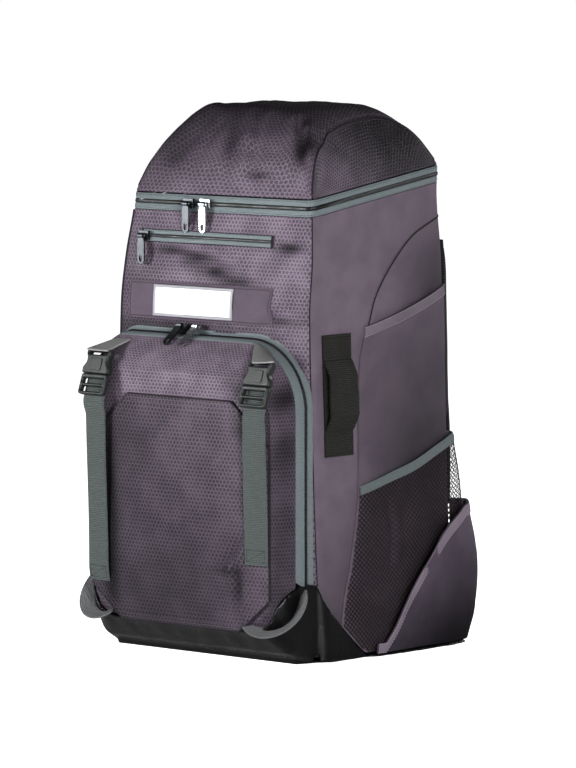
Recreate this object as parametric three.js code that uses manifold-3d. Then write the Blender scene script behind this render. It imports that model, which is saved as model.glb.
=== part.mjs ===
// A baseball bat backpack, standing on its base.
// Millimetres. X runs across the bag, Y from the front (negative) to the back, Z up from the floor.
import * as THREE from 'three';
import { mergeVertices } from 'three/addons/utils/BufferGeometryUtils.js';
import Module from 'manifold-3d';

const wasm = await Module();
wasm.setup();

// Driving dimensions of the body
const bagHeight = 516;
const bodyWidth = 240;
const bodyDepth = 200;
const zipHeight = 423;
const zipRise = 26;
const cornerRadius = 10;

// Walls and clearances
const cloth = 2;
const tapeWall = 1;
const webbingWall = 1.6;
const bootWall = 3;
const padWall = 12;
const gap = 0.4;

// Widths of bands and webbing
const bandWidth = 15.6;
const coilWidth = 3;
const coilHeight = 2.4;
const strapWidth = 25.4;
const batStrapWidth = 38;
const hemWidth = 9;

// Front pocket
const pocketDepth = 49;
const pocketWidth = 240;
const pocketTop = 305;
const pocketBottom = 4;
const pocketBulge = 7;
const shoulderLeft = 30;
const shoulderRight = 66;

// Shares of the body at rising heights. height is a share of zipHeight, halfWidth, crown and bulge of
// bodyWidth, front and back of bodyDepth.
const bodySections = [
  { height: 0.0, halfWidth: 0.531, front: 0.57, back: 0.42, crown: 0, bulge: 0 },
  { height: 0.175, halfWidth: 0.521, front: 0.595, back: 0.41, crown: 0.004, bulge: 0.004 },
  { height: 0.473, halfWidth: 0.508, front: 0.61, back: 0.4, crown: 0.012, bulge: 0.014 },
  { height: 0.768, halfWidth: 0.496, front: 0.615, back: 0.4, crown: 0.012, bulge: 0.012 },
  { height: 0.879, halfWidth: 0.4896, front: 0.5875, back: 0.4, crown: 0.008, bulge: 0.006 },
  { height: 1.0, halfWidth: 0.4667, front: 0.555, back: 0.403, crown: 0, bulge: 0 },
  { height: 1.09, halfWidth: 0.4667, front: 0.552, back: 0.405, crown: 0, bulge: 0 },
];

// The lid's profile. reach is the share of the way from its middle to its rim, rise the share of its height.
const lidProfile = [
  { reach: 0.0, rise: 1.0 },
  { reach: 0.3, rise: 0.995 },
  { reach: 0.45, rise: 0.98 },
  { reach: 0.54, rise: 0.94 },
  { reach: 0.65, rise: 0.82 },
  { reach: 0.79, rise: 0.59 },
  { reach: 0.89, rise: 0.37 },
  { reach: 1.0, rise: 0.0 },
];

// Dents pressed into the lid. across is a share of its half width, along of its half depth, both from its
// middle, size a share of its half depth, and depth a share of the lid's height.
const lidDents = [
  { across: 0.42, along: -0.42, size: 0.2, depth: 0.05 },
  { across: -0.35, along: -0.78, size: 0.16, depth: 0.04 },
  { across: 0.16, along: -0.86, size: 0.14, depth: 0.04 },
];

// The front pocket from the body outwards. forward is a share of pocketDepth, side of pocketWidth, top and
// bottom of pocketTop, round of shoulderRight, cover the height of the boot there as a share of pocketTop.
const pocketSections = [
  { forward: 0.0, side: 0.0, top: 0.0, bottom: 0.0, round: 0.1, cover: 0.243 },
  { forward: 0.3, side: 0.003, top: 0.013, bottom: 0.006, round: 0.12, cover: 0.243 },
  { forward: 0.49, side: 0.006, top: 0.023, bottom: 0.032, round: 0.15, cover: 0.243 },
  { forward: 0.79, side: 0.021, top: 0.066, bottom: 0.082, round: 0.3, cover: 0.214 },
  { forward: 1.0, side: 0.046, top: 0.118, bottom: 0.112, round: 0.45, cover: 0.16 },
];
const bandSection = 2;
const faceSection = 4;
const coverEnd = 3.55;

// The flap over the pocket. height is a share of pocketTop, halfWidth of half the pocket's width.
const flapOutline = [
  { height: 0.102, halfWidth: 0.61 },
  { height: 0.203, halfWidth: 0.915 },
  { height: 0.672, halfWidth: 0.915 },
  { height: 0.807, halfWidth: 0.535 },
];

// The seam that bounds the sleeve and the net pocket on each side. along is the share of the way from the
// front corner to the back one, height a share of zipHeight.
const sleeveSeam = [
  { height: 0.0, along: 0.21 },
  { height: 0.06, along: 0.15 },
  { height: 0.12, along: 0.17 },
  { height: 0.208, along: 0.23 },
  { height: 0.305, along: 0.275 },
  { height: 0.383, along: 0.3 },
  { height: 0.541, along: 0.31 },
  { height: 0.66, along: 0.33 },
  { height: 0.72, along: 0.37 },
];

// Upper edges on the side, as heights that are shares of zipHeight, along as above.
const sleeveEdge = [
  { along: 0.0, height: 0.7 },
  { along: 0.37, height: 0.733 },
  { along: 0.7, height: 0.772 },
  { along: 1.0, height: 0.813 },
];
const netEdge = [
  { along: 0.0, height: 0.36 },
  { along: 0.3, height: 0.383 },
  { along: 0.5, height: 0.409 },
  { along: 0.66, height: 0.428 },
  { along: 0.83, height: 0.454 },
  { along: 1.0, height: 0.478 },
];
const pouchEdge = [
  { along: 0.35, height: 0.0 },
  { along: 0.45, height: 0.062 },
  { along: 0.55, height: 0.144 },
  { along: 0.76, height: 0.253 },
  { along: 1.0, height: 0.324 },
];

// How far a side piece stands out from the body, from its front edge round the back corner. along is the share
// of the way from its front edge to the back corner, out the share of its fullness.
const fullness = [
  { along: 0.0, out: 0.0 },
  { along: 0.15, out: 0.3 },
  { along: 0.4, out: 0.66 },
  { along: 0.7, out: 0.93 },
  { along: 0.88, out: 1.0 },
  { along: 0.95, out: 0.85 },
  { along: 1.0, out: 0.0 },
];
const sleeveFullness = 4;
const netFullness = 13;
const pouchFullness = 13;
const netWall = 1.2;

// How fully each side piece stands out at a height, which is a share of zipHeight.
const standOff = [
  { height: 0.0, sleeve: 0.3, net: 0.3, pouch: 0.45 },
  { height: 0.08, sleeve: 0.4, net: 0.6, pouch: 0.95 },
  { height: 0.2, sleeve: 0.5, net: 0.95, pouch: 0.85 },
  { height: 0.3, sleeve: 0.5, net: 1.0, pouch: 0.35 },
  { height: 0.4, sleeve: 0.5, net: 0.7, pouch: 0.1 },
  { height: 0.5, sleeve: 0.6, net: 0.3, pouch: 0 },
  { height: 0.82, sleeve: 1.0, net: 0.1, pouch: 0 },
];
const sideEnd = 0.985;
const wrapEnd = 1.035;
const bootReach = 0.3;
const batStrapPlace = 0.174;
const batStrapLow = 192;
const batStrapHigh = 306;
const batLoopMargin = 24;
const batLoopRise = 6;

// Hardware
const sliderLength = 12;
const sliderWidth = 9;
const sliderHeight = 3;
const pullEyeRadius = 2.5;
const pullBarWidth = 1.2;
const pullWidth = 8;
const pullWall = 1.8;
const pullLength = 27;
const buckleWidth = 32;
const buckleWall = 6;
const socketLength = 24;
const plugLength = 20;
const buckleTilt = 0.35;
const buckleStand = { left: 16, right: 12.5 };
const strapLift = 4;
const archShare = 0.76;
const pullBarHeight = 6.2;
const pocketPullLean = 0.92;
const loopEnds = { inX: 84, inZ: 40, outX: 121, outForward: 21, outZ: 68 };
const loopHang = 26;
const loopWidth = 18;
const loopTilt = 0.6;

// Colours
const plum = { color: 0x7a6f7b, roughness: 0.85, metalness: 0 };
const hexPlum = { color: 0x6a5f6b, roughness: 0.7, metalness: 0 };
const zipGrey = { color: 0x6f787b, roughness: 0.8, metalness: 0 };
const strapGrey = { color: 0x5a6463, roughness: 0.85, metalness: 0 };
const stubGrey = { color: 0x9b9c9a, roughness: 0.85, metalness: 0 };
const blackWebbing = { color: 0x33332f, roughness: 0.9, metalness: 0 };
const coated = { color: 0x1c1c1c, roughness: 0.4, metalness: 0 };
const netBrown = { color: 0x2b2425, roughness: 0.9, metalness: 0 };
const padBlack = { color: 0x202022, roughness: 0.95, metalness: 0 };
const buckleGrey = { color: 0x3f4341, roughness: 0.5, metalness: 0 };
const plateWhite = { color: 0xe8e8e8, roughness: 0.5, metalness: 0 };
const gunmetal = { color: 0x77797b, roughness: 0.3, metalness: 1 };
const silver = { color: 0xd5d6d8, roughness: 0.2, metalness: 1 };

const bag = new THREE.Group();

/** Adds a named piece to the bag and returns it. */
function addPiece(name, geometry, finish) {
  const mesh = new THREE.Mesh(geometry, new THREE.MeshStandardMaterial(finish));
  mesh.name = name;
  bag.add(mesh);
  return mesh;
}

/** Reads a column of a table at a place between its rows, by a smooth curve through them. */
function readTable(table, key, at, column) {
  const last = table.length - 1;
  let row = 0;
  while (row < last - 1 && at > table[row + 1][key]) row += 1;
  const slope = (i) => {
    const low = Math.max(i - 1, 0);
    const high = Math.min(i + 1, last);
    return (table[high][column] - table[low][column]) / (table[high][key] - table[low][key]);
  };
  const span = table[row + 1][key] - table[row][key];
  const t = THREE.MathUtils.clamp((at - table[row][key]) / span, 0, 1);
  const a = table[row][column];
  const b = table[row + 1][column];
  const t2 = t * t;
  const t3 = t2 * t;
  return (2 * t3 - 3 * t2 + 1) * a + (t3 - 2 * t2 + t) * span * slope(row)
    + (3 * t2 - 2 * t3) * b + (t3 - t2) * span * slope(row + 1);
}

/** Reads a column of a table in straight lines between its rows. */
function readStraight(table, key, at, column) {
  const last = table.length - 1;
  let row = 0;
  while (row < last - 1 && at > table[row + 1][key]) row += 1;
  const span = table[row + 1][key] - table[row][key];
  const t = THREE.MathUtils.clamp((at - table[row][key]) / span, 0, 1);
  return THREE.MathUtils.lerp(table[row][column], table[row + 1][column], t);
}

/** Numbers from one end to the other in equal steps. */
function steps(from, to, count) {
  return Array.from({ length: count + 1 }, (_, i) => THREE.MathUtils.lerp(from, to, i / count));
}

const bagMiddle = new THREE.Vector3(0, -bodyDepth / 10, zipHeight / 2);

/** The direction square to a surface at a place, from its slopes there. */
function surfaceNormal(surface, u, v, low, high) {
  const small = 1e-4;
  const du = surface(Math.min(u + small, high.u), v).sub(surface(Math.max(u - small, low.u), v));
  const dv = surface(u, Math.min(v + small, high.v)).sub(surface(u, Math.max(v - small, low.v)));
  return du.normalize().cross(dv.normalize()).normalize();
}

/**
 * A closed sheet on a surface. The surface gives a point for u and v, and the sheet fills the space between the
 * offsets inner and outer from it, measured away from the middle of the bag.
 */
function sheet({ surface, us: across, vs: up, inner, outer, wrap = false, centre = bagMiddle }) {
  const us = [...across].sort((a, b) => a - b);
  const vs = [...up].sort((a, b) => a - b);
  const low = { u: Math.min(...us), v: Math.min(...vs) };
  const high = { u: Math.max(...us), v: Math.max(...vs) };
  const midU = us[Math.floor(us.length / 2)];
  const midV = vs[Math.floor(vs.length / 2)];
  const away = surface(midU, midV).sub(centre);
  const sign = Math.sign(surfaceNormal(surface, midU, midV, low, high).dot(away));
  const columns = wrap ? us.length - 1 : us.length;
  const offsetAt = (offset, u, v) => (typeof offset === 'function' ? offset(u, v) : offset);
  const points = [];
  for (const offset of [outer, inner]) {
    for (let i = 0; i < columns; i += 1) {
      for (let j = 0; j < vs.length; j += 1) {
        const normal = surfaceNormal(surface, us[i], vs[j], low, high).multiplyScalar(sign);
        const point = surface(us[i], vs[j]);
        points.push(point.addScaledVector(normal, offsetAt(offset, us[i], vs[j])));
      }
    }
  }
  const at = (layer, i, j) => (layer * columns + (i % columns)) * vs.length + j;
  const faces = [];
  const quad = (a, b, c, d) => {
    if (sign > 0) faces.push(a, b, c, a, c, d);
    else faces.push(a, c, b, a, d, c);
  };
  for (let i = 0; i < us.length - 1; i += 1) {
    for (let j = 0; j < vs.length - 1; j += 1) {
      quad(at(0, i, j), at(0, i + 1, j), at(0, i + 1, j + 1), at(0, i, j + 1));
      quad(at(1, i, j), at(1, i, j + 1), at(1, i + 1, j + 1), at(1, i + 1, j));
    }
    const end = vs.length - 1;
    quad(at(0, i, 0), at(1, i, 0), at(1, i + 1, 0), at(0, i + 1, 0));
    quad(at(0, i, end), at(0, i + 1, end), at(1, i + 1, end), at(1, i, end));
  }
  if (!wrap) {
    const end = us.length - 1;
    for (let j = 0; j < vs.length - 1; j += 1) {
      quad(at(0, 0, j), at(0, 0, j + 1), at(1, 0, j + 1), at(1, 0, j));
      quad(at(0, end, j), at(1, end, j), at(1, end, j + 1), at(0, end, j + 1));
    }
  }
  const geometry = new THREE.BufferGeometry();
  geometry.setAttribute('position', new THREE.Float32BufferAttribute(points.flatMap((p) => p.toArray()), 3));
  geometry.setIndex(faces);
  return geometry;
}

/** A closed mesh as a solid that can be joined and cut. */
function toSolid(geometry) {
  const bare = geometry.clone();
  bare.deleteAttribute('normal');
  bare.deleteAttribute('uv');
  const merged = mergeVertices(bare, 1e-4);
  return new wasm.Manifold(new wasm.Mesh({
    numProp: 3,
    vertProperties: new Float32Array(merged.attributes.position.array),
    triVerts: new Uint32Array(merged.index.array),
  }));
}

/** A solid back as a mesh. Of a solid in several bodies, the largest. */
function toGeometry(solid) {
  const pickLargest = (bodies) => bodies.reduce((best, body) => (body.volume() > best.volume() ? body : best));
  const tidy = pickLargest(solid.decompose()).simplify(gap / 20);
  const mesh = pickLargest(tidy.decompose()).getMesh();
  const geometry = new THREE.BufferGeometry();
  geometry.setAttribute('position', new THREE.Float32BufferAttribute(mesh.vertProperties, 3));
  geometry.setIndex(Array.from(mesh.triVerts));
  return geometry;
}

/** A box between two corners. */
function boxBetween(low, high) {
  const size = high.map((value, i) => value - low[i]);
  const middle = high.map((value, i) => (value + low[i]) / 2);
  return new THREE.BoxGeometry(...size).translate(...middle);
}

/** The body's width, depth and swell at a height. */
function sectionAt(z) {
  const height = z / zipHeight;
  const read = (column) => readTable(bodySections, 'height', height, column);
  return {
    halfWidth: read('halfWidth') * bodyWidth,
    front: -read('front') * bodyDepth,
    back: read('back') * bodyDepth,
    crown: read('crown') * bodyWidth,
    bulge: read('bulge') * bodyWidth,
  };
}

// The share of each face that its straight part takes. The rest is half of each corner's arc.
const straightShare = 0.9;

/**
 * The body's outer surface. q runs round it: 0 is the middle of the front, 1 the front right corner, 2 the back
 * right corner, 3 the middle of the back, and the left side mirrors it with q below 0 or above 3.
 */
function bodyPoint(q, z) {
  const turn = q > 3 ? q - 6 : q;
  const side = turn < 0 ? -1 : 1;
  const place = Math.abs(turn);
  const s = sectionAt(z);
  const half = s.halfWidth - cornerRadius;
  const quarter = Math.PI / 4;
  if (place <= 1 || place > 2) {
    const isFront = place <= 1;
    const share = isFront ? place : 3 - place;
    const edge = isFront ? s.front : s.back;
    const inward = isFront ? 1 : -1;
    if (share <= straightShare) {
      const x = (half * share) / straightShare;
      const crown = isFront ? s.crown * (1 - (x / half) ** 2) : 0;
      return new THREE.Vector3(side * x, edge - inward * crown, z);
    }
    const angle = ((share - straightShare) / (1 - straightShare)) * quarter;
    const x = half + cornerRadius * Math.sin(angle);
    return new THREE.Vector3(side * x, edge + inward * cornerRadius * (1 - Math.cos(angle)), z);
  }
  const along = place - 1;
  const margin = (1 - straightShare) / 2;
  const front = s.front + cornerRadius;
  const back = s.back - cornerRadius;
  if (along < margin) {
    const angle = quarter + (along / margin) * quarter;
    return new THREE.Vector3(
      side * (half + cornerRadius * Math.sin(angle)), front - cornerRadius * Math.cos(angle), z);
  }
  if (along > 1 - margin) {
    const angle = ((1 - along) / margin) * quarter + quarter;
    return new THREE.Vector3(
      side * (half + cornerRadius * Math.sin(angle)), back + cornerRadius * Math.cos(angle), z);
  }
  const t = (along - margin) / (1 - 2 * margin);
  const x = s.halfWidth + s.bulge * 4 * t * (1 - t);
  return new THREE.Vector3(side * x, THREE.MathUtils.lerp(front, back, t), z);
}

/** The height of the lid zip's middle at a place round the body. */
function zipLine(q) {
  const y = bodyPoint(q, zipHeight).y;
  const s = sectionAt(zipHeight);
  return zipHeight + (zipRise * (y - s.front)) / (s.back - s.front);
}

/** A point on the body's front at x and z. */
function frontPoint(x, z) {
  const s = sectionAt(z);
  const half = s.halfWidth - cornerRadius;
  const over = Math.min(Math.max(Math.abs(x) - half, 0), cornerRadius * 0.98);
  const crown = over > 0 ? 0 : s.crown * (1 - (x / half) ** 2);
  const y = s.front - crown + cornerRadius - Math.sqrt(cornerRadius ** 2 - over ** 2);
  return new THREE.Vector3(x, y, z);
}

// The corners' half arcs and the straight between them, as places round one face
const arcPlaces = [0.0055, 0.05];
const frontPlaces = [
  ...arcPlaces.map((p) => -1 + p), ...steps(-straightShare, straightShare, 6),
  ...arcPlaces.map((p) => 1 - p).reverse()];
const sideMargin = (1 - straightShare) / 2;
const sidePlaces = [
  0.0028, sideMargin / 2, ...steps(sideMargin, 1 - sideMargin, 6), 1 - sideMargin / 2, 0.9972];
const floorTop = bootWall + gap;

const belowBand = (q) => zipLine(q) - bandWidth / 2 - gap;
const panelRows = steps(0, 1, 7);

/** A cloth panel of the body from the floor, where its rows are 0, to the zip band, where they are 1. */
function bodyPanel(name, places, rows, finish) {
  const surface = (q, v) => bodyPoint(q, THREE.MathUtils.lerp(floorTop, belowBand(q), v));
  return addPiece(name, sheet({ surface, us: places, vs: rows, inner: -cloth, outer: 0 }), finish);
}

bodyPanel('body_front', frontPlaces, panelRows, hexPlum);
bodyPanel('body_side_right', sidePlaces.map((p) => 1 + p), panelRows, plum);
bodyPanel('body_side_left', sidePlaces.map((p) => -1 - p), panelRows, plum);
const backRise = (bandWidth + gap) / (belowBand(3) - floorTop);
bodyPanel('body_back', frontPlaces.map((p) => 3 + p), [...panelRows, 1 + backRise], padBlack);

/** A zip band's strip on the body, between two distances up from the middle of the band. */
function lidBand(name, low, high, inner, outer, finish) {
  const sides = [
    ...sidePlaces.slice(0, 3), ...steps(sideMargin, 1 - sideMargin, 5).slice(1), ...sidePlaces.slice(-2)];
  const places = [...sides.map((p) => -1 - p).reverse(), ...frontPlaces, ...sides.map((p) => 1 + p)];
  const surface = (q, v) => bodyPoint(q, zipLine(q) + THREE.MathUtils.lerp(low, high, v));
  addPiece(name, sheet({ surface, us: places, vs: [0, 1], inner, outer }), finish);
}

const tapeEdge = coilWidth / 2 + gap;
lidBand('lid_tape_lower', -bandWidth / 2, -tapeEdge, -tapeWall, 0, zipGrey);
lidBand('lid_coil', -coilWidth / 2, coilWidth / 2, -coilHeight / 2, coilHeight / 2, zipGrey);
lidBand('lid_tape_upper', tapeEdge, bandWidth / 2, -tapeWall, 0, zipGrey);

// The lid's rim in plan: a rounded rectangle about its own middle
const rimRise = bandWidth / 2 + gap + cloth / 2;
const rimSection = sectionAt(zipHeight + rimRise);
const rimHalfWidth = rimSection.halfWidth;
const rimHalfDepth = (rimSection.back - rimSection.front) / 2;
const rimMiddle = (rimSection.back + rimSection.front) / 2;

/** How far a plan point lies from the lid's middle, with 1 at the rim. */
function lidReach(x, y) {
  const px = Math.abs(x);
  const py = Math.abs(y);
  const cx = rimHalfWidth - cornerRadius;
  const cy = rimHalfDepth - cornerRadius;
  const straight = Math.max(px / rimHalfWidth, py / rimHalfDepth);
  if (straight < 1e-6 || px / straight < cx || py / straight < cy) return straight;
  const dot = px * cx + py * cy;
  const length = px * px + py * py;
  const inside = dot * dot - length * (cx * cx + cy * cy - cornerRadius ** 2);
  return length / (dot + Math.sqrt(Math.max(inside, 0)));
}

/** A point on the lid above x and y, both from the lid's middle. */
function lidPoint(x, y) {
  const reach = Math.min(lidReach(x, y), 1);
  const rimY = reach > 0.05 ? y / reach : 0;
  const slope = (zipRise * (rimY + rimHalfDepth)) / (2 * rimHalfDepth);
  const rim = zipHeight + slope + rimRise;
  let rise = readTable(lidProfile, 'reach', reach, 'rise');
  for (const dent of lidDents) {
    const dx = (x / rimHalfWidth - dent.across) / dent.size;
    const dy = (y / rimHalfDepth - dent.along) / dent.size;
    rise -= dent.depth * Math.exp(-(dx * dx + dy * dy)) * (1 - reach ** 6);
  }
  return new THREE.Vector3(x, rimMiddle + y, rim + (bagHeight - rim) * rise);
}

const lidSeamShare = 0.67;
const lidSeamTop = 0.3;
const lidSeamGap = gap * 0.8;

/** Half the width of the lid's middle panel at a share of the half depth. */
function lidSeam(along) {
  const span = along < lidSeamTop ? lidSeamTop + 1 : 1 - lidSeamTop;
  const t = Math.abs(along - lidSeamTop) / span;
  const corner = cornerRadius * (1 - Math.SQRT1_2);
  return THREE.MathUtils.lerp(lidSeamShare * rimHalfWidth, rimHalfWidth - corner, t ** 2.2);
}

/** The rim's half depth at x. */
function rimDepthAt(x) {
  const over = Math.min(Math.max(Math.abs(x) - (rimHalfWidth - cornerRadius), 0), cornerRadius);
  return rimHalfDepth - cornerRadius + Math.sqrt(cornerRadius ** 2 - over ** 2);
}

/** A point on the lid's seam or across its middle panel. */
function lidCentrePlan(across, along) {
  const x = across * (lidSeam(along) - lidSeamGap);
  return { x, y: along * rimDepthAt(x) };
}

/** A point on the lid's side panel, from the seam to the rim. */
function lidGussetPlan(side, along, outward) {
  const seamX = lidSeam(along) + lidSeamGap;
  const seamY = along * rimDepthAt(seamX);
  const cornerY = rimHalfDepth - cornerRadius * (1 - Math.SQRT1_2);
  const rimY = along * cornerY;
  const over = Math.min(Math.max(Math.abs(rimY) - (rimHalfDepth - cornerRadius), 0), cornerRadius);
  const rimX = rimHalfWidth - cornerRadius + Math.sqrt(cornerRadius ** 2 - over ** 2);
  return {
    x: side * THREE.MathUtils.lerp(seamX, rimX, outward),
    y: THREE.MathUtils.lerp(seamY, rimY, outward),
  };
}

function addLid() {
  const alongRim = [-1, -0.94, -0.87, -0.78, -0.66, -0.5, -0.25, 0, 0.25, 0.5, 0.66, 0.78, 0.88, 0.95, 1];
  const centre = (across, along) => {
    const plan = lidCentrePlan(across, along);
    return lidPoint(plan.x, plan.y);
  };
  const middle = sheet({ surface: centre, us: steps(-1, 1, 8), vs: alongRim, inner: -cloth, outer: 0 });
  addPiece('lid_centre', middle, hexPlum);
  const ends = alongRim.map((t) => THREE.MathUtils.clamp(t, -0.985, 0.985));
  for (const [name, side] of [['left', -1], ['right', 1]]) {
    const surface = (along, outward) => {
      const plan = lidGussetPlan(side, along, outward);
      return lidPoint(plan.x, plan.y);
    };
    const panel = sheet({ surface, us: ends, vs: [0, 0.3, 0.55, 0.75, 0.9, 1], inner: -cloth, outer: 0 });
    addPiece(`lid_gusset_${name}`, panel, hexPlum);
  }
}
addLid();

/** The pocket's rounded outline at a place from the body (0) to its face (faceSection). */
function pocketSection(k) {
  const rows = pocketSections.map((row, index) => ({ ...row, index }));
  const read = (column) => readTable(rows, 'index', k, column);
  const side = read('side') * pocketWidth;
  const top = read('top') * pocketTop;
  return {
    forward: read('forward') * pocketDepth,
    halfWidth: pocketWidth / 2 - side,
    top: pocketTop - top,
    bottom: pocketBottom + read('bottom') * pocketTop,
    shrink: (side + top) / 2,
    foot: read('round') * shoulderRight,
    cover: read('cover') * pocketTop,
  };
}

/**
 * A point on the pocket's outline. turn runs from 0 at the bottom middle by the right side to 5 at the top
 * middle and by the left side to 10: bottom, foot corner, side, shoulder and top take 1 each.
 */
function pocketOutline(turn, k) {
  const side = turn <= 5 ? 1 : -1;
  const t = turn <= 5 ? turn : 10 - turn;
  const s = pocketSection(k);
  const shoulder = Math.max((side > 0 ? shoulderRight : shoulderLeft) - s.shrink, cornerRadius);
  let x = 0;
  let z = 0;
  if (t <= 1) {
    x = t * (s.halfWidth - s.foot);
    z = s.bottom;
  } else if (t <= 2) {
    const angle = ((t - 1) * Math.PI) / 2;
    x = s.halfWidth - s.foot + s.foot * Math.sin(angle);
    z = s.bottom + s.foot * (1 - Math.cos(angle));
  } else if (t <= 3) {
    x = s.halfWidth;
    z = THREE.MathUtils.lerp(s.bottom + s.foot, s.top - shoulder, t - 2);
  } else if (t <= 4) {
    const angle = ((t - 3) * Math.PI) / 2;
    x = s.halfWidth - shoulder + shoulder * Math.cos(angle);
    z = s.top - shoulder + shoulder * Math.sin(angle);
  } else {
    x = (5 - t) * (s.halfWidth - shoulder);
    z = s.top;
  }
  return { x: side * x, z };
}

/** The place on the pocket's outline at a height on its lower half. */
function pocketTurn(side, z, k) {
  const s = pocketSection(k);
  const shoulder = Math.max((side > 0 ? shoulderRight : shoulderLeft) - s.shrink, cornerRadius);
  const arcTop = s.bottom + s.foot;
  const t = z < arcTop
    ? 1 + (2 / Math.PI) * Math.acos(THREE.MathUtils.clamp((arcTop - z) / s.foot, -1, 1))
    : 2 + (z - arcTop) / (s.top - shoulder - arcTop);
  return side > 0 ? t : 10 - t;
}

// The plane in front of the body that the pocket's depth is measured from
const pocketPlane = sectionAt(0.175 * zipHeight).front;
const face = pocketSection(faceSection);
const faceMiddle = (face.top + face.bottom) / 2;
const faceHalfHeight = (face.top - face.bottom) / 2;
const pocketMiddle = new THREE.Vector3(0, pocketPlane, faceMiddle);

/** The pocket's face at x and z. */
function faceY(x, z) {
  const across = Math.max(1 - (x / face.halfWidth) ** 2, 0);
  const up = Math.max(1 - ((z - faceMiddle) / faceHalfHeight) ** 2, 0);
  return pocketPlane - face.forward - pocketBulge * across * up;
}

/** A point on the pocket's outer surface. Past faceSection the outline shrinks to the middle of the face. */
function pocketPoint(turn, k) {
  if (k > faceSection) {
    const scale = Math.max(1 - (k - faceSection), 0);
    const rim = pocketOutline(turn, faceSection);
    const x = scale * rim.x;
    const z = faceMiddle + scale * (rim.z - faceMiddle);
    return new THREE.Vector3(x, faceY(x, z), z);
  }
  const { x, z } = pocketOutline(turn, k);
  const forward = pocketSection(k).forward;
  const band = pocketSection(bandSection).forward;
  const start = frontPoint(Math.max(Math.abs(x) - tapeWall - gap / 2, 0), z).y - gap;
  const straight = pocketPlane - forward;
  const blend = Math.min(forward / band, 1);
  return new THREE.Vector3(x, THREE.MathUtils.lerp(start, straight, blend), z);
}

const pocketTurns = [
  0, 0.55, 1, 1.5, 2, 2.35, 2.7, 3, 3.33, 3.67, 4, 5, 6, 6.5, 7, 7.3, 7.65, 8, 8.5, 9, 9.45, 10];

/** The pocket's cloth as a closed sheet, grown outwards by a clearance. */
function pocketSheet(clearance) {
  const depths = [bandSection + 0.02, 2.5, 3, 3.5, faceSection, 4.35, 4.7, 4.97];
  return sheet({
    surface: pocketPoint, us: pocketTurns, vs: depths, inner: -cloth, outer: clearance, wrap: true,
    centre: pocketMiddle,
  });
}

function addPocket() {
  const shell = pocketSheet(0);
  const plug = toSolid(boxBetween(
    [-face.halfWidth * 0.06, faceY(0, faceMiddle) - 0.01, faceMiddle - faceHalfHeight * 0.06],
    [face.halfWidth * 0.06, faceY(0, faceMiddle) + cloth - 0.01, faceMiddle + faceHalfHeight * 0.06],
  ));
  addPiece('pocket_shell', toGeometry(toSolid(shell).add(plug)), hexPlum);
}
addPocket();

/** A strip of the pocket's zip, from the boot on one side over the top to the boot on the other. */
function pocketBand(name, low, high, inner, outer, finish) {
  const start = (side) => pocketTurn(side, pocketSection(0).cover + gap, (low + high) / 2);
  const places = [
    start(1), ...[2.5, 2.75, 3, 3.25, 3.5, 3.75, 4, 4.5, 5, 5.5, 6, 6.33, 6.67, 7, 7.25, 7.5], start(-1)];
  const surface = (turn, k) => pocketPoint(turn, k);
  addPiece(name, sheet({ surface, us: places, vs: [low, high], inner, outer, centre: pocketMiddle }), finish);
}
pocketBand('pocket_tape_back', 0.02, 0.88, -tapeWall, 0, zipGrey);
pocketBand('pocket_coil', 0.93, 1.1, -coilHeight / 2, coilHeight / 2, zipGrey);
pocketBand('pocket_tape_front', 1.15, bandSection - 0.02, -tapeWall, 0, zipGrey);

/** The top of the boot's low wall at a place along the side. */
function bootTop(along) {
  const share = THREE.MathUtils.clamp(along / bootReach, 0, 1);
  return THREE.MathUtils.lerp(pocketSection(0).cover, bootWall + 1, share ** 0.7);
}

/** The share of its fullness that a side piece has at a place along the side. */
function swell(along, start, end) {
  return readTable(fullness, 'along', THREE.MathUtils.clamp((along - start) / (end - start), 0, 1), 'out');
}

/** The place along the side of the seam in front of the sleeve and the net pocket. */
function seamAlong(z) {
  return readTable(sleeveSeam, 'height', z / zipHeight, 'along');
}

/** How far the sleeve's outer face stands off the body. */
function sleeveOut(along, z) {
  const a = THREE.MathUtils.clamp((along - seamAlong(z)) / (sideEnd - seamAlong(z)), 0, 1);
  return gap + cloth + sleeveFullness * 4 * a * (1 - a) * readTable(standOff, 'height', z / zipHeight, 'sleeve');
}

/** How far the net pocket's outer face stands off the body. */
function netOut(along, z) {
  const swollen = swell(along, seamAlong(z), wrapEnd) * readTable(standOff, 'height', z / zipHeight, 'net');
  return sleeveOut(along, z) + gap + netWall + netFullness * swollen;
}

/** How far the foot pouch's outer face stands off the body. */
function pouchOut(along, z) {
  const start = pouchEdge[0].along;
  const swollen = swell(along, start - 0.1, wrapEnd) * readTable(standOff, 'height', z / zipHeight, 'pouch');
  return netOut(along, z) + gap + cloth + pouchFullness * swollen;
}

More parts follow.
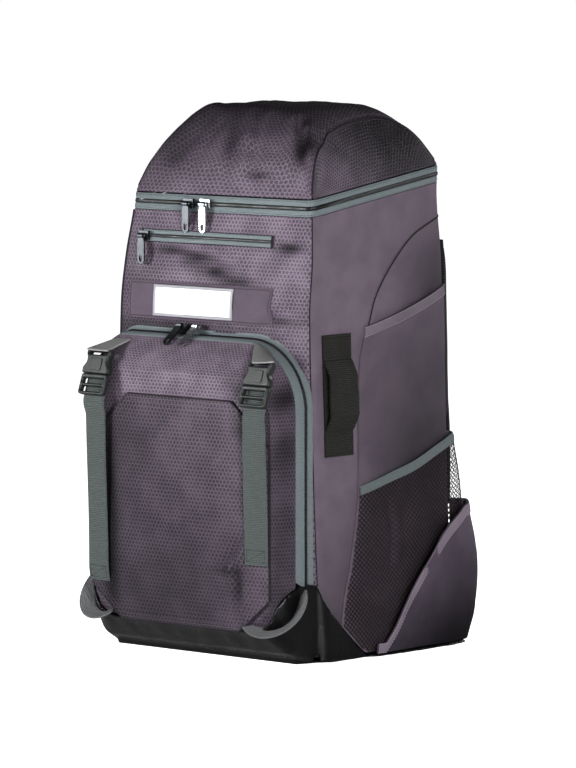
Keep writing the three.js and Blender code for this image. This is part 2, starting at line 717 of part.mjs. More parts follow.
/** The boot: a floor, a cover under the pocket and a low wall along each side. It can be grown outwards by a
 * clearance, and past its upper edge by another. */
function bootSolid(clearance, edge) {
  const rearLeft = [];
  const lobe = steps(bootReach, wrapEnd, 12);
  for (const along of lobe) {
    const at = bodyPoint(1 + along, 0);
    const before = bodyPoint(1 + along - 0.01, 0);
    const after = bodyPoint(1 + along + 0.01, 0);
    const normal = new THREE.Vector2(after.y - before.y, before.x - after.x).normalize();
    const swollen = along > pouchEdge[0].along ? pouchOut(along, 0) : gap + bootWall;
    rearLeft.push(new THREE.Vector2(at.x, at.y).addScaledVector(normal, Math.max(swollen, gap + bootWall)));
  }
  const rear = [...rearLeft, ...[...rearLeft].reverse().map((p) => new THREE.Vector2(-p.x, p.y))];
  const toe = pocketSection(1);
  const foreY = pocketPlane - toe.forward;
  const corner = bodyPoint(1, 0);
  const margin = gap + bootWall;
  const fore = [
    [-corner.x - margin, corner.y + cornerRadius], [-toe.halfWidth - gap, corner.y - gap],
    [-toe.halfWidth + toe.foot, foreY], [toe.halfWidth - toe.foot, foreY],
    [toe.halfWidth + gap, corner.y - gap], [corner.x + margin, corner.y + cornerRadius],
  ].map(([x, y]) => new THREE.Vector2(x, y));
  const outline = new THREE.Shape([...fore, ...rear]);
  const plate = toSolid(new THREE.ExtrudeGeometry(outline, { depth: bootWall, bevelEnabled: false }));

  const coverSurface = (u, k) => {
    const height = Math.max(pocketSection(k).cover, pocketSection(k).bottom + 1) + edge;
    const end = u < 0 ? 10 - pocketTurn(-1, height, k) : pocketTurn(1, height, k);
    const turn = Math.abs(u) * end;
    return pocketPoint(u < 0 ? 10 - turn : turn, k);
  };
  const cover = toSolid(sheet({
    surface: coverSurface, us: steps(-1, 1, 16), vs: [0.35, 0.7, 1, 1.5, 2, 2.5, 3, coverEnd + edge / 5],
    inner: gap, outer: 2 * gap + bootWall + clearance, centre: pocketMiddle,
  }));
  let boot = plate.add(cover);
  for (const side of [-1, 1]) {
    const wallSurface = (along, v) => bodyPoint(
      side * (1 + along), THREE.MathUtils.lerp(bootWall / 2, bootTop(along), v));
    const wall = sheet({
      surface: wallSurface, us: [-0.03, 0, 0.02, 0.05, 0.09, 0.14, 0.2, bootReach], vs: steps(0, 1, 3),
      inner: gap, outer: gap + bootWall + clearance,
    });
    boot = boot.add(toSolid(wall));
  }
  return boot.subtract(toSolid(pocketSheet(gap)));
}
addPiece('base_boot', toGeometry(bootSolid(0, 0)), coated);

/** A flat patch on the body's front between two corners in x and z. */
function frontPatch(name, area, layer, wall, finish, columns = 6) {
  const patch = sheet({
    surface: frontPoint, us: steps(area.left, area.right, columns), vs: steps(area.low, area.high, 2),
    inner: layer, outer: layer + wall,
  });
  addPiece(name, patch, finish);
}
const patchWall = 1.2;
const patchHeight = 35.5;
const patchOverPocket = 8;
const patchLow = pocketTop + patchOverPocket;
const plateInset = 3;
const patch = { left: -104, right: 74, low: patchLow, high: patchLow + patchHeight };
const plate = { left: -71, right: 28, low: patch.low + plateInset, high: patch.high - plateInset };
const zipOverPatch = 36.5;
const smallZipWidth = 12;
const smallZip = {
  left: -95, right: 69, height: patch.high + zipOverPatch + smallZipWidth / 2, width: smallZipWidth,
};
const smallTape = {
  left: smallZip.left, right: smallZip.right,
  low: smallZip.height - smallZip.width / 2, high: smallZip.height + smallZip.width / 2,
};
const smallCoil = {
  left: smallZip.left + coilWidth, right: smallZip.right - coilWidth,
  low: smallZip.height - coilWidth / 2, high: smallZip.height + coilWidth / 2,
};
frontPatch('small_zip_tape', smallTape, gap, tapeWall, zipGrey);
frontPatch('small_zip_coil', smallCoil, 2 * gap + tapeWall, coilHeight / 2, zipGrey);
frontPatch('patch_band', patch, gap, patchWall, plum);
frontPatch('label_plate', plate, 2 * gap + patchWall, patchWall, plateWhite);

/** The eight-sided flap over the pocket, grown by a clearance. */
function flapSheet(clearance) {
  const [foot, shoulder, brow, top] = flapOutline.map((row) => row.height);
  const rows = [
    ...steps(foot, shoulder, 2), ...steps(shoulder, brow, 5).slice(1), ...steps(brow, top, 2).slice(1)];
  const surface = (u, height) => {
    const x = (u * readStraight(flapOutline, 'height', height, 'halfWidth') * pocketWidth) / 2;
    const z = height * pocketTop;
    return new THREE.Vector3(x, faceY(x, z), z);
  };
  return sheet({
    surface, us: steps(-1, 1, 8), vs: rows,
    inner: 2 * gap - clearance, outer: 2 * gap + cloth + clearance, centre: pocketMiddle,
  });
}
addPiece('helmet_flap', flapSheet(0), hexPlum);

// Straps and buckles over the flap
const strapX = 98;
const strapLow = { left: 66, right: 96 };
const buckleFootZ = 243;
const buckleFootY = (side) => faceY(strapX, buckleFootZ) - (side < 0 ? buckleStand.left : buckleStand.right);
const plugPocketFace = (buckleWall / 2 + gap) / Math.cos(buckleTilt);

/** The face of the flap strap that lies towards the bag. */
function strapPoint(side, u, z) {
  const x = side * strapX + (u * strapWidth) / 2;
  const lift = strapLift * THREE.MathUtils.smoothstep(z, strapLow.right, buckleFootZ);
  const lying = faceY(x, z) - 3 * gap - cloth - lift;
  const rising = buckleFootY(side) + plugPocketFace + webbingWall / Math.cos(buckleTilt)
    + (z - buckleFootZ) * Math.tan(buckleTilt);
  const blend = THREE.MathUtils.smoothstep(z, buckleFootZ - plugLength, buckleFootZ - webbingWall);
  return new THREE.Vector3(x, THREE.MathUtils.lerp(lying, rising, blend), z);
}

/** A flat plate with slots, seen along its wall: an outline in x and z with its wall along y. */
function slottedPlate(outline, slots, wall) {
  const shape = new THREE.Shape(outline.map(([x, z]) => new THREE.Vector2(x, z)));
  for (const slot of slots) {
    const hole = [
      [-slot.width / 2, slot.low], [slot.width / 2, slot.low],
      [slot.width / 2, slot.high], [-slot.width / 2, slot.high]];
    shape.holes.push(new THREE.Path(hole.map(([x, z]) => new THREE.Vector2(x, z))));
  }
  const geometry = new THREE.ExtrudeGeometry(shape, { depth: wall, bevelEnabled: false });
  return geometry.translate(0, 0, -wall / 2).rotateX(Math.PI / 2);
}

/** The place across the pocket's arch at x. */
function archTurn(side, x, k) {
  const s = pocketSection(k);
  const shoulder = Math.max((side > 0 ? shoulderRight : shoulderLeft) - s.shrink, cornerRadius);
  const flat = s.halfWidth - shoulder;
  const turn = x <= flat ? 5 - x / flat : 3 + (2 / Math.PI) * Math.acos(Math.min((x - flat) / shoulder, 1));
  return side > 0 ? turn : 10 - turn;
}

for (const [name, side] of [['left', -1], ['right', 1]]) {
  const low = strapLow[name];
  const top = buckleFootZ + plugLength * 0.4;
  const strap = sheet({
    surface: (u, z) => strapPoint(side, u, z), us: [-1, 0, 1],
    vs: [...steps(low, buckleFootZ - plugLength, 5), ...steps(buckleFootZ - plugLength, top, 5).slice(1)],
    inner: 0, outer: webbingWall, centre: pocketMiddle,
  });
  addPiece(`flap_strap_${name}`, strap, strapGrey);

  const half = buckleWidth / 2;
  const slotWidth = strapWidth + 2 * gap;
  const plugOutline = [[-half, 0], [half, 0], [half, plugLength], [-half, plugLength]];
  const slots = [
    { width: slotWidth, low: plugLength * 0.14, high: plugLength * 0.4 },
    { width: slotWidth, low: plugLength * 0.54, high: plugLength * 0.8 }];
  const socketLow = plugLength + gap;
  const socketTop = plugLength + socketLength;
  const waist = 0.36 * buckleWidth;
  const socketHalf = [
    [half, socketLow], [half, socketLow + 0.25 * socketLength], [waist, socketLow + 0.5 * socketLength],
    [0.92 * half, socketTop - 0.2 * socketLength], [0.92 * half, socketTop]];
  const socketOutline = [...socketHalf, ...socketHalf.map(([x, z]) => [-x, z]).reverse()];
  const socketSlot = [{
    width: 0.75 * buckleWidth,
    low: socketTop - 0.22 * socketLength,
    high: socketTop - 0.1 * socketLength,
  }];
  const buckle = new THREE.Group();
  buckle.position.set(side * strapX, buckleFootY(side), buckleFootZ);
  buckle.rotation.x = -buckleTilt;
  bag.add(buckle);
  const parts = [
    [`buckle_plug_${name}`, slottedPlate(plugOutline, slots, buckleWall)],
    [`buckle_socket_${name}`, slottedPlate(socketOutline, socketSlot, buckleWall * 1.3)]];
  for (const [part, geometry] of parts) {
    const mesh = addPiece(part, geometry, buckleGrey);
    buckle.add(mesh);
  }

  const archSection = bandSection + 0.5;
  const stubStart = socketTop + 2 * gap + webbingWall / 2;
  const stub = (u, v) => {
    const start = new THREE.Vector3(
      side * strapX + (u * strapWidth) / 2,
      buckleFootY(side) + stubStart * Math.sin(buckleTilt),
      buckleFootZ + stubStart * Math.cos(buckleTilt));
    const x = (archShare * pocketWidth) / 2 + (side * u * strapWidth * 0.9) / 2;
    const end = pocketPoint(archTurn(side, x, archSection), archSection);
    end.y -= 2 * gap;
    end.z += 2 * gap;
    return start.lerp(end, v);
  };
  addPiece(`strap_stub_${name}`, sheet({
    surface: stub, us: [-1, -0.5, 0, 0.5, 1], vs: [0, 0.5, 1], inner: 0, outer: webbingWall, centre: pocketMiddle,
  }), stubGrey);

  // The webbing loop at the bottom corner: half an oval with its face turned out and down
  const inEnd = new THREE.Vector3(side * loopEnds.inX, pocketPlane - pocketDepth + gap, loopEnds.inZ);
  const outEnd = new THREE.Vector3(side * loopEnds.outX, pocketPlane - loopEnds.outForward, loopEnds.outZ);
  const middle = inEnd.clone().add(outEnd).multiplyScalar(0.5);
  const spanWay = outEnd.clone().sub(inEnd).normalize();
  const hang = new THREE.Vector3(side * 0.1, -0.6, -0.8);
  hang.addScaledVector(spanWay, -hang.dot(spanWay)).normalize();
  const face = spanWay.clone().cross(hang).normalize().multiplyScalar(side);
  const reach = inEnd.distanceTo(outEnd) / 2;
  const loopPoint = (u, v) => {
    const radial = spanWay.clone().multiplyScalar(-Math.cos(u)).addScaledVector(hang, Math.sin(u));
    const width = radial.clone().multiplyScalar(Math.cos(loopTilt))
      .addScaledVector(face, -Math.sin(loopTilt));
    return middle.clone().addScaledVector(spanWay, -reach * Math.cos(u))
      .addScaledVector(hang, loopHang * Math.sin(u))
      .addScaledVector(width, v * loopWidth);
  };
  const ribbon = toSolid(sheet({
    surface: loopPoint, us: steps(0.06 * Math.PI, 0.94 * Math.PI, 12), vs: [-0.5, 0.5],
    inner: 0, outer: webbingWall, centre: bagMiddle,
  }));
  const cut = ribbon.subtract(bootSolid(gap, 0)).subtract(bootSolid(gap, gap))
    .subtract(toSolid(flapSheet(gap)));
  addPiece(`corner_loop_${name}`, toGeometry(cut.subtract(toSolid(pocketSheet(gap)))), stubGrey);
}

/** A sheet on one side of the bag between a lower and an upper edge, at its own distance from the body. */
function sidePiece(name, side, piece, finish) {
  const place = (a, v) => {
    let along = THREE.MathUtils.lerp(piece.startAt(zipHeight / 4), piece.end, a);
    let z = 0;
    for (let pass = 0; pass < 6; pass += 1) {
      z = THREE.MathUtils.lerp(piece.low(along), piece.high(along), v);
      along = THREE.MathUtils.lerp(piece.startAt(z), piece.end, a);
    }
    return { along, z };
  };
  const surface = (a, v) => {
    const { along, z } = place(a, v);
    return bodyPoint(side * (1 + along), z);
  };
  const offset = (extra) => (a, v) => {
    const { along, z } = place(a, v);
    return piece.out(along, z) + extra;
  };
  const panel = sheet({
    surface, us: piece.columns, vs: steps(0, 1, piece.rows), inner: offset(-piece.wall), outer: offset(0),
  });
  addPiece(name, panel, finish);
}

const floorLevel = bootWall + gap;
const sideLow = (along) => Math.max(bootTop(along), floorLevel) + gap;
const edgeHeight = (edge) => (along) => readTable(edge, 'along', along, 'height') * zipHeight;
const sleeveTop = edgeHeight(sleeveEdge);
const netTop = edgeHeight(netEdge);
const pouchTop = edgeHeight(pouchEdge);
const wrapColumns = [0, 0.15, 0.32, 0.5, 0.68, 0.83, 0.9, 0.94, 0.97, 1];
const flatColumns = [0, 0.17, 0.34, 0.52, 0.7, 0.85, 0.947, 1];
for (const [name, side] of [['left', -1], ['right', 1]]) {
  sidePiece(`sleeve_${name}`, side, {
    startAt: seamAlong, end: sideEnd, columns: flatColumns, rows: 6, wall: cloth, out: sleeveOut,
    low: sideLow, high: (along) => sleeveTop(along) - hemWidth - gap,
  }, plum);
  sidePiece(`sleeve_hem_${name}`, side, {
    startAt: seamAlong, end: sideEnd, columns: flatColumns, rows: 1, wall: cloth, out: sleeveOut,
    low: (along) => sleeveTop(along) - hemWidth, high: sleeveTop,
  }, plum);
  sidePiece(`net_pocket_${name}`, side, {
    startAt: seamAlong, end: wrapEnd, columns: wrapColumns, rows: 6, wall: netWall, out: netOut,
    low: sideLow, high: (along) => netTop(along) - hemWidth - gap,
  }, netBrown);
  sidePiece(`net_hem_${name}`, side, {
    startAt: seamAlong, end: wrapEnd, columns: wrapColumns, rows: 1, wall: netWall, out: netOut,
    low: (along) => netTop(along) - hemWidth, high: netTop,
  }, zipGrey);
  sidePiece(`foot_pouch_${name}`, side, {
    startAt: () => pouchEdge[0].along, end: wrapEnd, columns: wrapColumns, rows: 6, wall: cloth, out: pouchOut,
    low: () => floorLevel, high: (along) => Math.max(pouchTop(along), floorLevel + hemWidth),
  }, plum);

  const halfSpan = batStrapWidth / 2 / bodyDepth;
  const across = steps(batStrapPlace - halfSpan, batStrapPlace + halfSpan, 2);
  const onSide = (along, z) => bodyPoint(side * (1 + along), z);
  const flat = toSolid(sheet({
    surface: onSide, us: across, vs: steps(batStrapLow, batStrapHigh, 4), inner: gap, outer: gap + webbingWall,
  }));
  const loopLow = batStrapLow + batLoopMargin;
  const loopHigh = batStrapHigh - batLoopMargin;
  const raise = (z) => {
    const t = (z - loopLow) / (loopHigh - loopLow);
    return gap + webbingWall / 2 + batLoopRise * Math.min(Math.sin(Math.PI * t) * 1.6, 1);
  };
  const raised = toSolid(sheet({
    surface: onSide,
    us: across,
    vs: [0, 0.1, 0.22, 0.5, 0.78, 0.9, 1].map((t) => THREE.MathUtils.lerp(loopLow, loopHigh, t)),
    inner: (a, z) => raise(z), outer: (a, z) => raise(z) + webbingWall,
  }));
  addPiece(`bat_strap_${name}`, toGeometry(flat.add(raised)), blackWebbing);
}

// The back: pad, shoulder straps, their webbing and locks, and the haul handle
const padLow = 30;
const padHigh = zipHeight - 38;
const padSurface = (u, v) => {
  const z = THREE.MathUtils.lerp(padLow, padHigh, v);
  const rise = THREE.MathUtils.smoothstep(z, netTop(1), netTop(1) + 3 * hemWidth);
  const width = THREE.MathUtils.lerp(0.93, 0.985, rise);
  return bodyPoint(3 + u * width, z);
};
addPiece('back_pad', sheet({
  surface: padSurface, us: [-1, -0.965, -0.91, -0.8, -0.4, 0, 0.4, 0.8, 0.91, 0.965, 1],
  vs: [0, 0.04, 0.2, 0.45, 0.53, 0.6, 0.8, 0.96, 1],
  inner: 2 * gap,
  outer: (u, v) => gap + padWall * (1 - 0.5 * Math.abs(u) ** 8) * (1 - 0.4 * Math.abs(2 * v - 1) ** 12),
}), padBlack);

// A shoulder strap's path down the back. height is a share of bagHeight, out the distance from the back as a
// share of padWall, across the place from the middle as a share of half bodyWidth.
const strapPath = [
  { along: 0.0, height: 0.79, out: 0.06, across: 0.36 },
  { along: 0.06, height: 0.788, out: 0.9, across: 0.36 },
  { along: 0.13, height: 0.77, out: 1.65, across: 0.37 },
  { along: 0.25, height: 0.71, out: 2.05, across: 0.4 },
  { along: 0.5, height: 0.56, out: 2.5, across: 0.5 },
  { along: 0.75, height: 0.4, out: 2.35, across: 0.6 },
  { along: 1.0, height: 0.25, out: 1.9, across: 0.65 },
];
const strapThickness = 10;
const strapTopWidth = 68;
const strapFootWidth = 54;

/** The middle of a shoulder strap or of its webbing at a place along its path. */
function pathPoint(path, side, along) {
  const read = (column) => readTable(path, 'along', along, column);
  const z = read('height') * bagHeight;
  const back = sectionAt(Math.min(z, zipHeight)).back;
  return new THREE.Vector3((side * read('across') * bodyWidth) / 2, back + read('out') * padWall, z);
}

const webbingPath = [
  { along: 0.0, height: 0.235, out: 1.75, across: 0.66 },
  { along: 0.4, height: 0.13, out: 1.55, across: 0.72 },
  { along: 0.75, height: 0.062, out: 1.3, across: 0.76 },
  { along: 0.9, height: 0.046, out: 0.8, across: 0.77 },
  { along: 1.0, height: 0.044, out: 0.06, across: 0.77 },
];
for (const [name, side] of [['left', -1], ['right', 1]]) {
  const strap = (u, v) => {
    const middle = pathPoint(strapPath, side, v);
    const width = THREE.MathUtils.lerp(strapTopWidth, strapFootWidth, v);
    return middle.add(new THREE.Vector3((u * width) / 2, 0, 0));
  };
  addPiece(`shoulder_strap_${name}`, sheet({
    surface: strap, us: [-1, -0.8, 0, 0.8, 1], vs: [0, 0.06, 0.13, 0.2, 0.32, 0.5, 0.68, 0.84, 1],
    inner: (u) => -strapThickness / 2 * (1 - 0.5 * Math.abs(u) ** 6),
    outer: (u) => (strapThickness / 2) * (1 - 0.5 * Math.abs(u) ** 6),
  }), padBlack);
  const tail = (u, v) => pathPoint(webbingPath, side, v).add(new THREE.Vector3((u * strapWidth) / 2, 0, 0));
  addPiece(`strap_webbing_${name}`, sheet({
    surface: tail,
    us: [-1, 1],
    vs: [0, 0.2, 0.4, 0.6, 0.75, 0.85, 0.92, 1],
    inner: -webbingWall / 2,
    outer: webbingWall / 2,
  }), blackWebbing);
  const lockTop = pathPoint(strapPath, side, 1);
  const lockHalf = buckleWidth / 2;
  const lock = slottedPlate(
    [[-lockHalf, 0], [lockHalf, 0], [lockHalf, plugLength], [-lockHalf, plugLength]],
    [{ width: strapWidth + 2 * gap, low: plugLength * 0.15, high: plugLength * 0.42 },
      { width: strapWidth + 2 * gap, low: plugLength * 0.58, high: plugLength * 0.85 }], buckleWall);
  const lockMesh = addPiece(`ladder_lock_${name}`, lock, buckleGrey);
  const behind = webbingWall / 2 + gap + buckleWall / 2;
  const lockY = pathPoint(webbingPath, side, 0).y + behind + gap;
  lockMesh.position.set(lockTop.x, lockY, lockTop.z - plugLength - gap);
}

const handleReach = 84;
const handleBow = 25;
const handleWidth = 20;
const handleWall = 2.6;
const handleHeight = zipHeight + 19;
const handlePoint = (u, v) => {
  const bow = 1 - Math.abs(u) ** 3;
  const back = sectionAt(handleHeight).back;
  const z = handleHeight + (v * handleWidth) / 2;
  return new THREE.Vector3((u * handleReach) / 2, back + gap + handleBow * bow, z);
};
addPiece('haul_handle', sheet({
  surface: handlePoint,
  us: [-1, -0.97, -0.9, -0.75, -0.5, 0, 0.5, 0.75, 0.9, 0.97, 1],
  vs: [-1, 1],
  inner: 0,
  outer: handleWall,
}), blackWebbing);

/** A zip slider with an open bail: x along the zip, -y away from the cloth. */
function sliderSolid() {
  const barInner = pullBarHeight - pullBarWidth / 2;
  const barOuter = pullBarHeight + pullBarWidth / 2;
  const legX = sliderLength * 0.33;
  const body = toSolid(boxBetween(
    [-sliderLength / 2, -sliderHeight, -sliderWidth / 2], [sliderLength / 2, 0, sliderWidth / 2]));
  const bar = toSolid(boxBetween(
    [-legX - pullBarWidth, -barOuter, -pullBarWidth / 2], [legX + pullBarWidth, -barInner, pullBarWidth / 2]));
  let slider = body.add(bar);
  for (const side of [-1, 1]) {
    const low = Math.min(side * legX, side * (legX + pullBarWidth));
    const leg = boxBetween(
      [low, -barOuter, -pullBarWidth / 2], [low + pullBarWidth, -sliderHeight / 2, pullBarWidth / 2]);
    slider = slider.add(toSolid(leg));
  }
  return toGeometry(slider);
}

/** A pull: a round eye on the bail's bar, a flat tongue with an oval hole below it. */
function pullSolid() {
  const eye = new THREE.Shape();
  eye.absarc(0, 0, pullEyeRadius, 0, 2 * Math.PI, false);
  const bore = new THREE.Path();
  bore.absarc(0, 0, pullBarWidth / Math.SQRT2 + gap, 0, 2 * Math.PI, true);
  eye.holes.push(bore);
  const eyeWidth = sliderLength * 0.5;
  const ring = new THREE.ExtrudeGeometry(eye, { depth: eyeWidth, bevelEnabled: false, curveSegments: 5 });
  ring.translate(0, 0, -eyeWidth / 2).rotateY(Math.PI / 2);
  const half = pullWidth / 2;
  const foot = -pullLength;
  const tongue = new THREE.Shape();
  tongue.moveTo(-eyeWidth / 2, -pullEyeRadius * 0.75);
  tongue.lineTo(-half, -2 * pullEyeRadius);
  tongue.lineTo(-half, foot + half);
  tongue.absarc(0, foot + half, half, Math.PI, 2 * Math.PI, false);
  tongue.lineTo(half, -2 * pullEyeRadius);
  tongue.lineTo(eyeWidth / 2, -pullEyeRadius * 0.75);
  tongue.closePath();
  const hole = new THREE.Path();
  const holeHalf = half * 0.5;
  hole.absarc(0, foot + half, holeHalf, Math.PI, 2 * Math.PI, false);
  hole.lineTo(holeHalf, foot + half + 2 * holeHalf);
  hole.lineTo(-holeHalf, foot + half + 2 * holeHalf);
  hole.closePath();
  tongue.holes.push(hole);
  const blade = new THREE.ExtrudeGeometry(tongue, { depth: pullWall, bevelEnabled: false, curveSegments: 4 });
  blade.translate(0, 0, -pullWall / 2).rotateX(Math.PI / 2);
  return toGeometry(toSolid(ring).add(toSolid(blade)));
}

// Places of the sliders: on is the zip, x the place along it, metal its finish.
const sliderPlaces = [
  { on: 'lid', x: -37, metal: gunmetal },
  { on: 'lid', x: -16, metal: silver },
  { on: 'pocket', x: -32, metal: gunmetal },
  { on: 'pocket', x: -12, metal: silver },
  { on: 'small', x: smallZip.left + sliderLength * 0.6, metal: gunmetal },
];

function addSliders() {
  const seat = gap + coilHeight / 2;
  sliderPlaces.forEach((place, index) => {
    const group = new THREE.Group();
    let lean = 0;
    if (place.on === 'lid') {
      group.position.set(place.x, frontPoint(place.x, zipHeight).y - seat, zipHeight);
    } else if (place.on === 'small') {
      const y = frontPoint(place.x, smallZip.height).y - 3 * gap - tapeWall - coilHeight / 2;
      group.position.set(place.x, y, smallZip.height);
    } else {
      const coil = pocketPoint(place.x > 0 ? archTurn(1, place.x, 1) : archTurn(-1, -place.x, 1), 1);
      const front = pocketPoint(5, 1.4);
      const rear = pocketPoint(5, 0.6);
      const slope = Math.atan2(rear.z - front.z, rear.y - front.y);
      lean = Math.PI / 2 - slope;
      const rise = seat + gap;
      group.position.copy(coil).add(new THREE.Vector3(0, -Math.sin(slope) * rise, Math.cos(slope) * rise));
    }
    group.rotation.x = -lean;
    bag.add(group);
    group.add(addPiece(`slider_${index + 1}`, sliderSolid(), place.metal));
    const pull = addPiece(`pull_${index + 1}`, pullSolid(), place.metal);
    pull.position.set(0, -pullBarHeight, 0);
    pull.rotation.x = place.on === 'pocket' ? lean - pocketPullLean : 0;
    group.add(pull);
  });
}
addSliders();

export default bag;
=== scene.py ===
"""A baseball bat backpack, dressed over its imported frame.

Lengths in this file are millimetres until a mesh is made, where they turn to metres. X runs across the bag, Y from
the front (negative) to the back, Z up from the floor.
"""
from __future__ import annotations

import logging
import math
from collections.abc import Callable, Sequence
from dataclasses import dataclass, field
from enum import Enum

import bpy
import numpy as np
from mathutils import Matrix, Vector

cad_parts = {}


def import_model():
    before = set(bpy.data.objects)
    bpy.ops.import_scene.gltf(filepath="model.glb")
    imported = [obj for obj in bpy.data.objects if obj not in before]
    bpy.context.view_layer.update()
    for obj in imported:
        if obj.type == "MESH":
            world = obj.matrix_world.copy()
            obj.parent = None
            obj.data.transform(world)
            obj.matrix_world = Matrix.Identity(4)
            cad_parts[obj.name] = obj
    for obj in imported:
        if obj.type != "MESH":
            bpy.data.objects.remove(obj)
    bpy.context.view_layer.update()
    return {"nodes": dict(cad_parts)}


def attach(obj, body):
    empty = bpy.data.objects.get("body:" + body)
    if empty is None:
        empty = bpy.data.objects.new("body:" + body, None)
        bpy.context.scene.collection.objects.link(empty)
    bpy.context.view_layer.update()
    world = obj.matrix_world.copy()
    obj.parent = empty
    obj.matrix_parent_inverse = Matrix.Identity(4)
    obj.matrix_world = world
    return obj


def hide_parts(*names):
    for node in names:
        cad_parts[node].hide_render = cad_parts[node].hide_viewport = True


LOG = logging.getLogger("bag")
MM = 0.001
Grid = np.ndarray
Surface = Callable[[Grid, Grid], Grid]
Paint = bpy.types.NodeSocket | tuple[float, float, float, float]


class Side(Enum):
    """The two sides of the bag, with the sign of their X."""

    LEFT = -1
    RIGHT = 1

    @property
    def word(self) -> str:
        """The side's name as pieces carry it."""
        return self.name.lower()


# ---------------------------------------------------------------- tables and plain shapes


@dataclass(frozen=True)
class Table:
    """Rows of numbers read by a smooth or a straight line through them."""

    rows: tuple[tuple[float, ...], ...]

    def read(self, at: Grid | float, column: int) -> Grid:
        """Reads a column by a cubic curve whose slope at a row is that between its two neighbours.

        Args:
            at: places along the first column.
            column: the column to read.

        Returns:
            The values there.
        """
        table = np.asarray(self.rows, dtype=float)
        key, val = table[:, 0], table[:, column]
        last = len(key) - 1
        low, high = np.maximum(np.arange(last + 1) - 1, 0), np.minimum(np.arange(last + 1) + 1, last)
        slope = (val[high] - val[low]) / (key[high] - key[low])
        at = np.asarray(at, dtype=float)
        row = np.clip(np.searchsorted(key, at, side="left") - 1, 0, last - 1)
        span = key[row + 1] - key[row]
        t = np.clip((at - key[row]) / span, 0, 1)
        t2, t3 = t * t, t ** 3
        return ((2 * t3 - 3 * t2 + 1) * val[row] + (t3 - 2 * t2 + t) * span * slope[row]
                + (3 * t2 - 2 * t3) * val[row + 1] + (t3 - t2) * span * slope[row + 1])

    def straight(self, at: Grid | float, column: int) -> Grid:
        """Reads a column in straight lines between its rows."""
        table = np.asarray(self.rows, dtype=float)
        return np.interp(at, table[:, 0], table[:, column])


def smooth(x: Grid | float, low: float, high: float) -> Grid:
    """The soft step 3t^2 - 2t^3 from 0 at low to 1 at high."""
    t = np.clip((np.asarray(x, dtype=float) - low) / (high - low), 0, 1)
    return t * t * (3 - 2 * t)


def mix(a: Grid | float, b: Grid | float, t: Grid | float) -> Grid:
    """The value t of the way from a to b."""
    return a + (b - a) * t


def points(*parts: Grid | float) -> Grid:
    """Stacks X, Y and Z arrays into points."""
    return np.stack(np.broadcast_arrays(*[np.asarray(p, dtype=float) for p in parts]), axis=-1)


def ripple(a: Grid, b: Grid, pitch: float, seed: int) -> Grid:
    """A soft uneven surface between -1 and 1: the mean of six sine waves of random way, length and start.

    Args:
        a: first coordinate in mm.
        b: second coordinate in mm.
        pitch: typical length of a wave in mm.
        seed: chooses the waves.

    Returns:
        The height at each place.
    """
    rng = np.random.default_rng(seed)
    total = np.zeros(np.broadcast(a, b).shape)
    for _ in range(6):
        turn, phase = rng.uniform(0, 2 * math.pi, 2)
        k = 2 * math.pi / (pitch * rng.uniform(0.7, 1.6))
        total += np.sin(k * (a * math.cos(turn) + b * math.sin(turn)) + phase)
    return total / 6


@dataclass(frozen=True)
class Crease:
    """A fold pressed into or lifted from cloth along an arc between two places."""

    start: tuple[float, float]
    end: tuple[float, float]
    width: float
    depth: float
    bow: float = 0.0
    lip: float = 0.35

    def lift(self, a: Grid, b: Grid) -> Grid:
        """The height at a place: a narrow trough along the arc with a softer lip beside it.

        With s the share along the arc and d the distance across it, the height is -depth * (exp(-(d/width)^2)
        - lip * exp(-((d - 1.6 width)/(1.4 width))^2)), faded to nothing at both ends.

        Args:
            a: first coordinate in mm.
            b: second coordinate in mm.

        Returns:
            The lift in mm.
        """
        start, end = np.array(self.start), np.array(self.end)
        way = end - start
        length = float(np.hypot(*way))
        way = way / length
        s = ((a - start[0]) * way[0] + (b - start[1]) * way[1]) / length
        d = -(a - start[0]) * way[1] + (b - start[1]) * way[0]
        inside = np.clip(s, 0, 1)
        d = d - self.bow * 4 * inside * (1 - inside)
        fade = np.clip(4 * inside * (1 - inside), 0, 1) ** 0.6
        fade = fade * np.exp(-(((s - inside) * length / self.width) ** 2))
        trough = np.exp(-((d / self.width) ** 2))
        lip = self.lip * np.exp(-(((d - 1.6 * self.width) / (1.4 * self.width)) ** 2))
        return -self.depth * fade * (trough - lip)


def folds(creases: Sequence[Crease], a: Grid, b: Grid) -> Grid:
    """The sum of several creases."""
    total = np.zeros(np.broadcast(a, b).shape)
    for crease in creases:
        total = total + crease.lift(a, b)
    return total


# ---------------------------------------------------------------- the bag's own surfaces


@dataclass(frozen=True)
class Walls:
    """Thicknesses and clearances, the same as the frame's."""

    cloth: float = 2.0
    tape: float = 1.0
    webbing: float = 1.6
    boot: float = 3.0
    pad: float = 12.0
    gap: float = 0.4


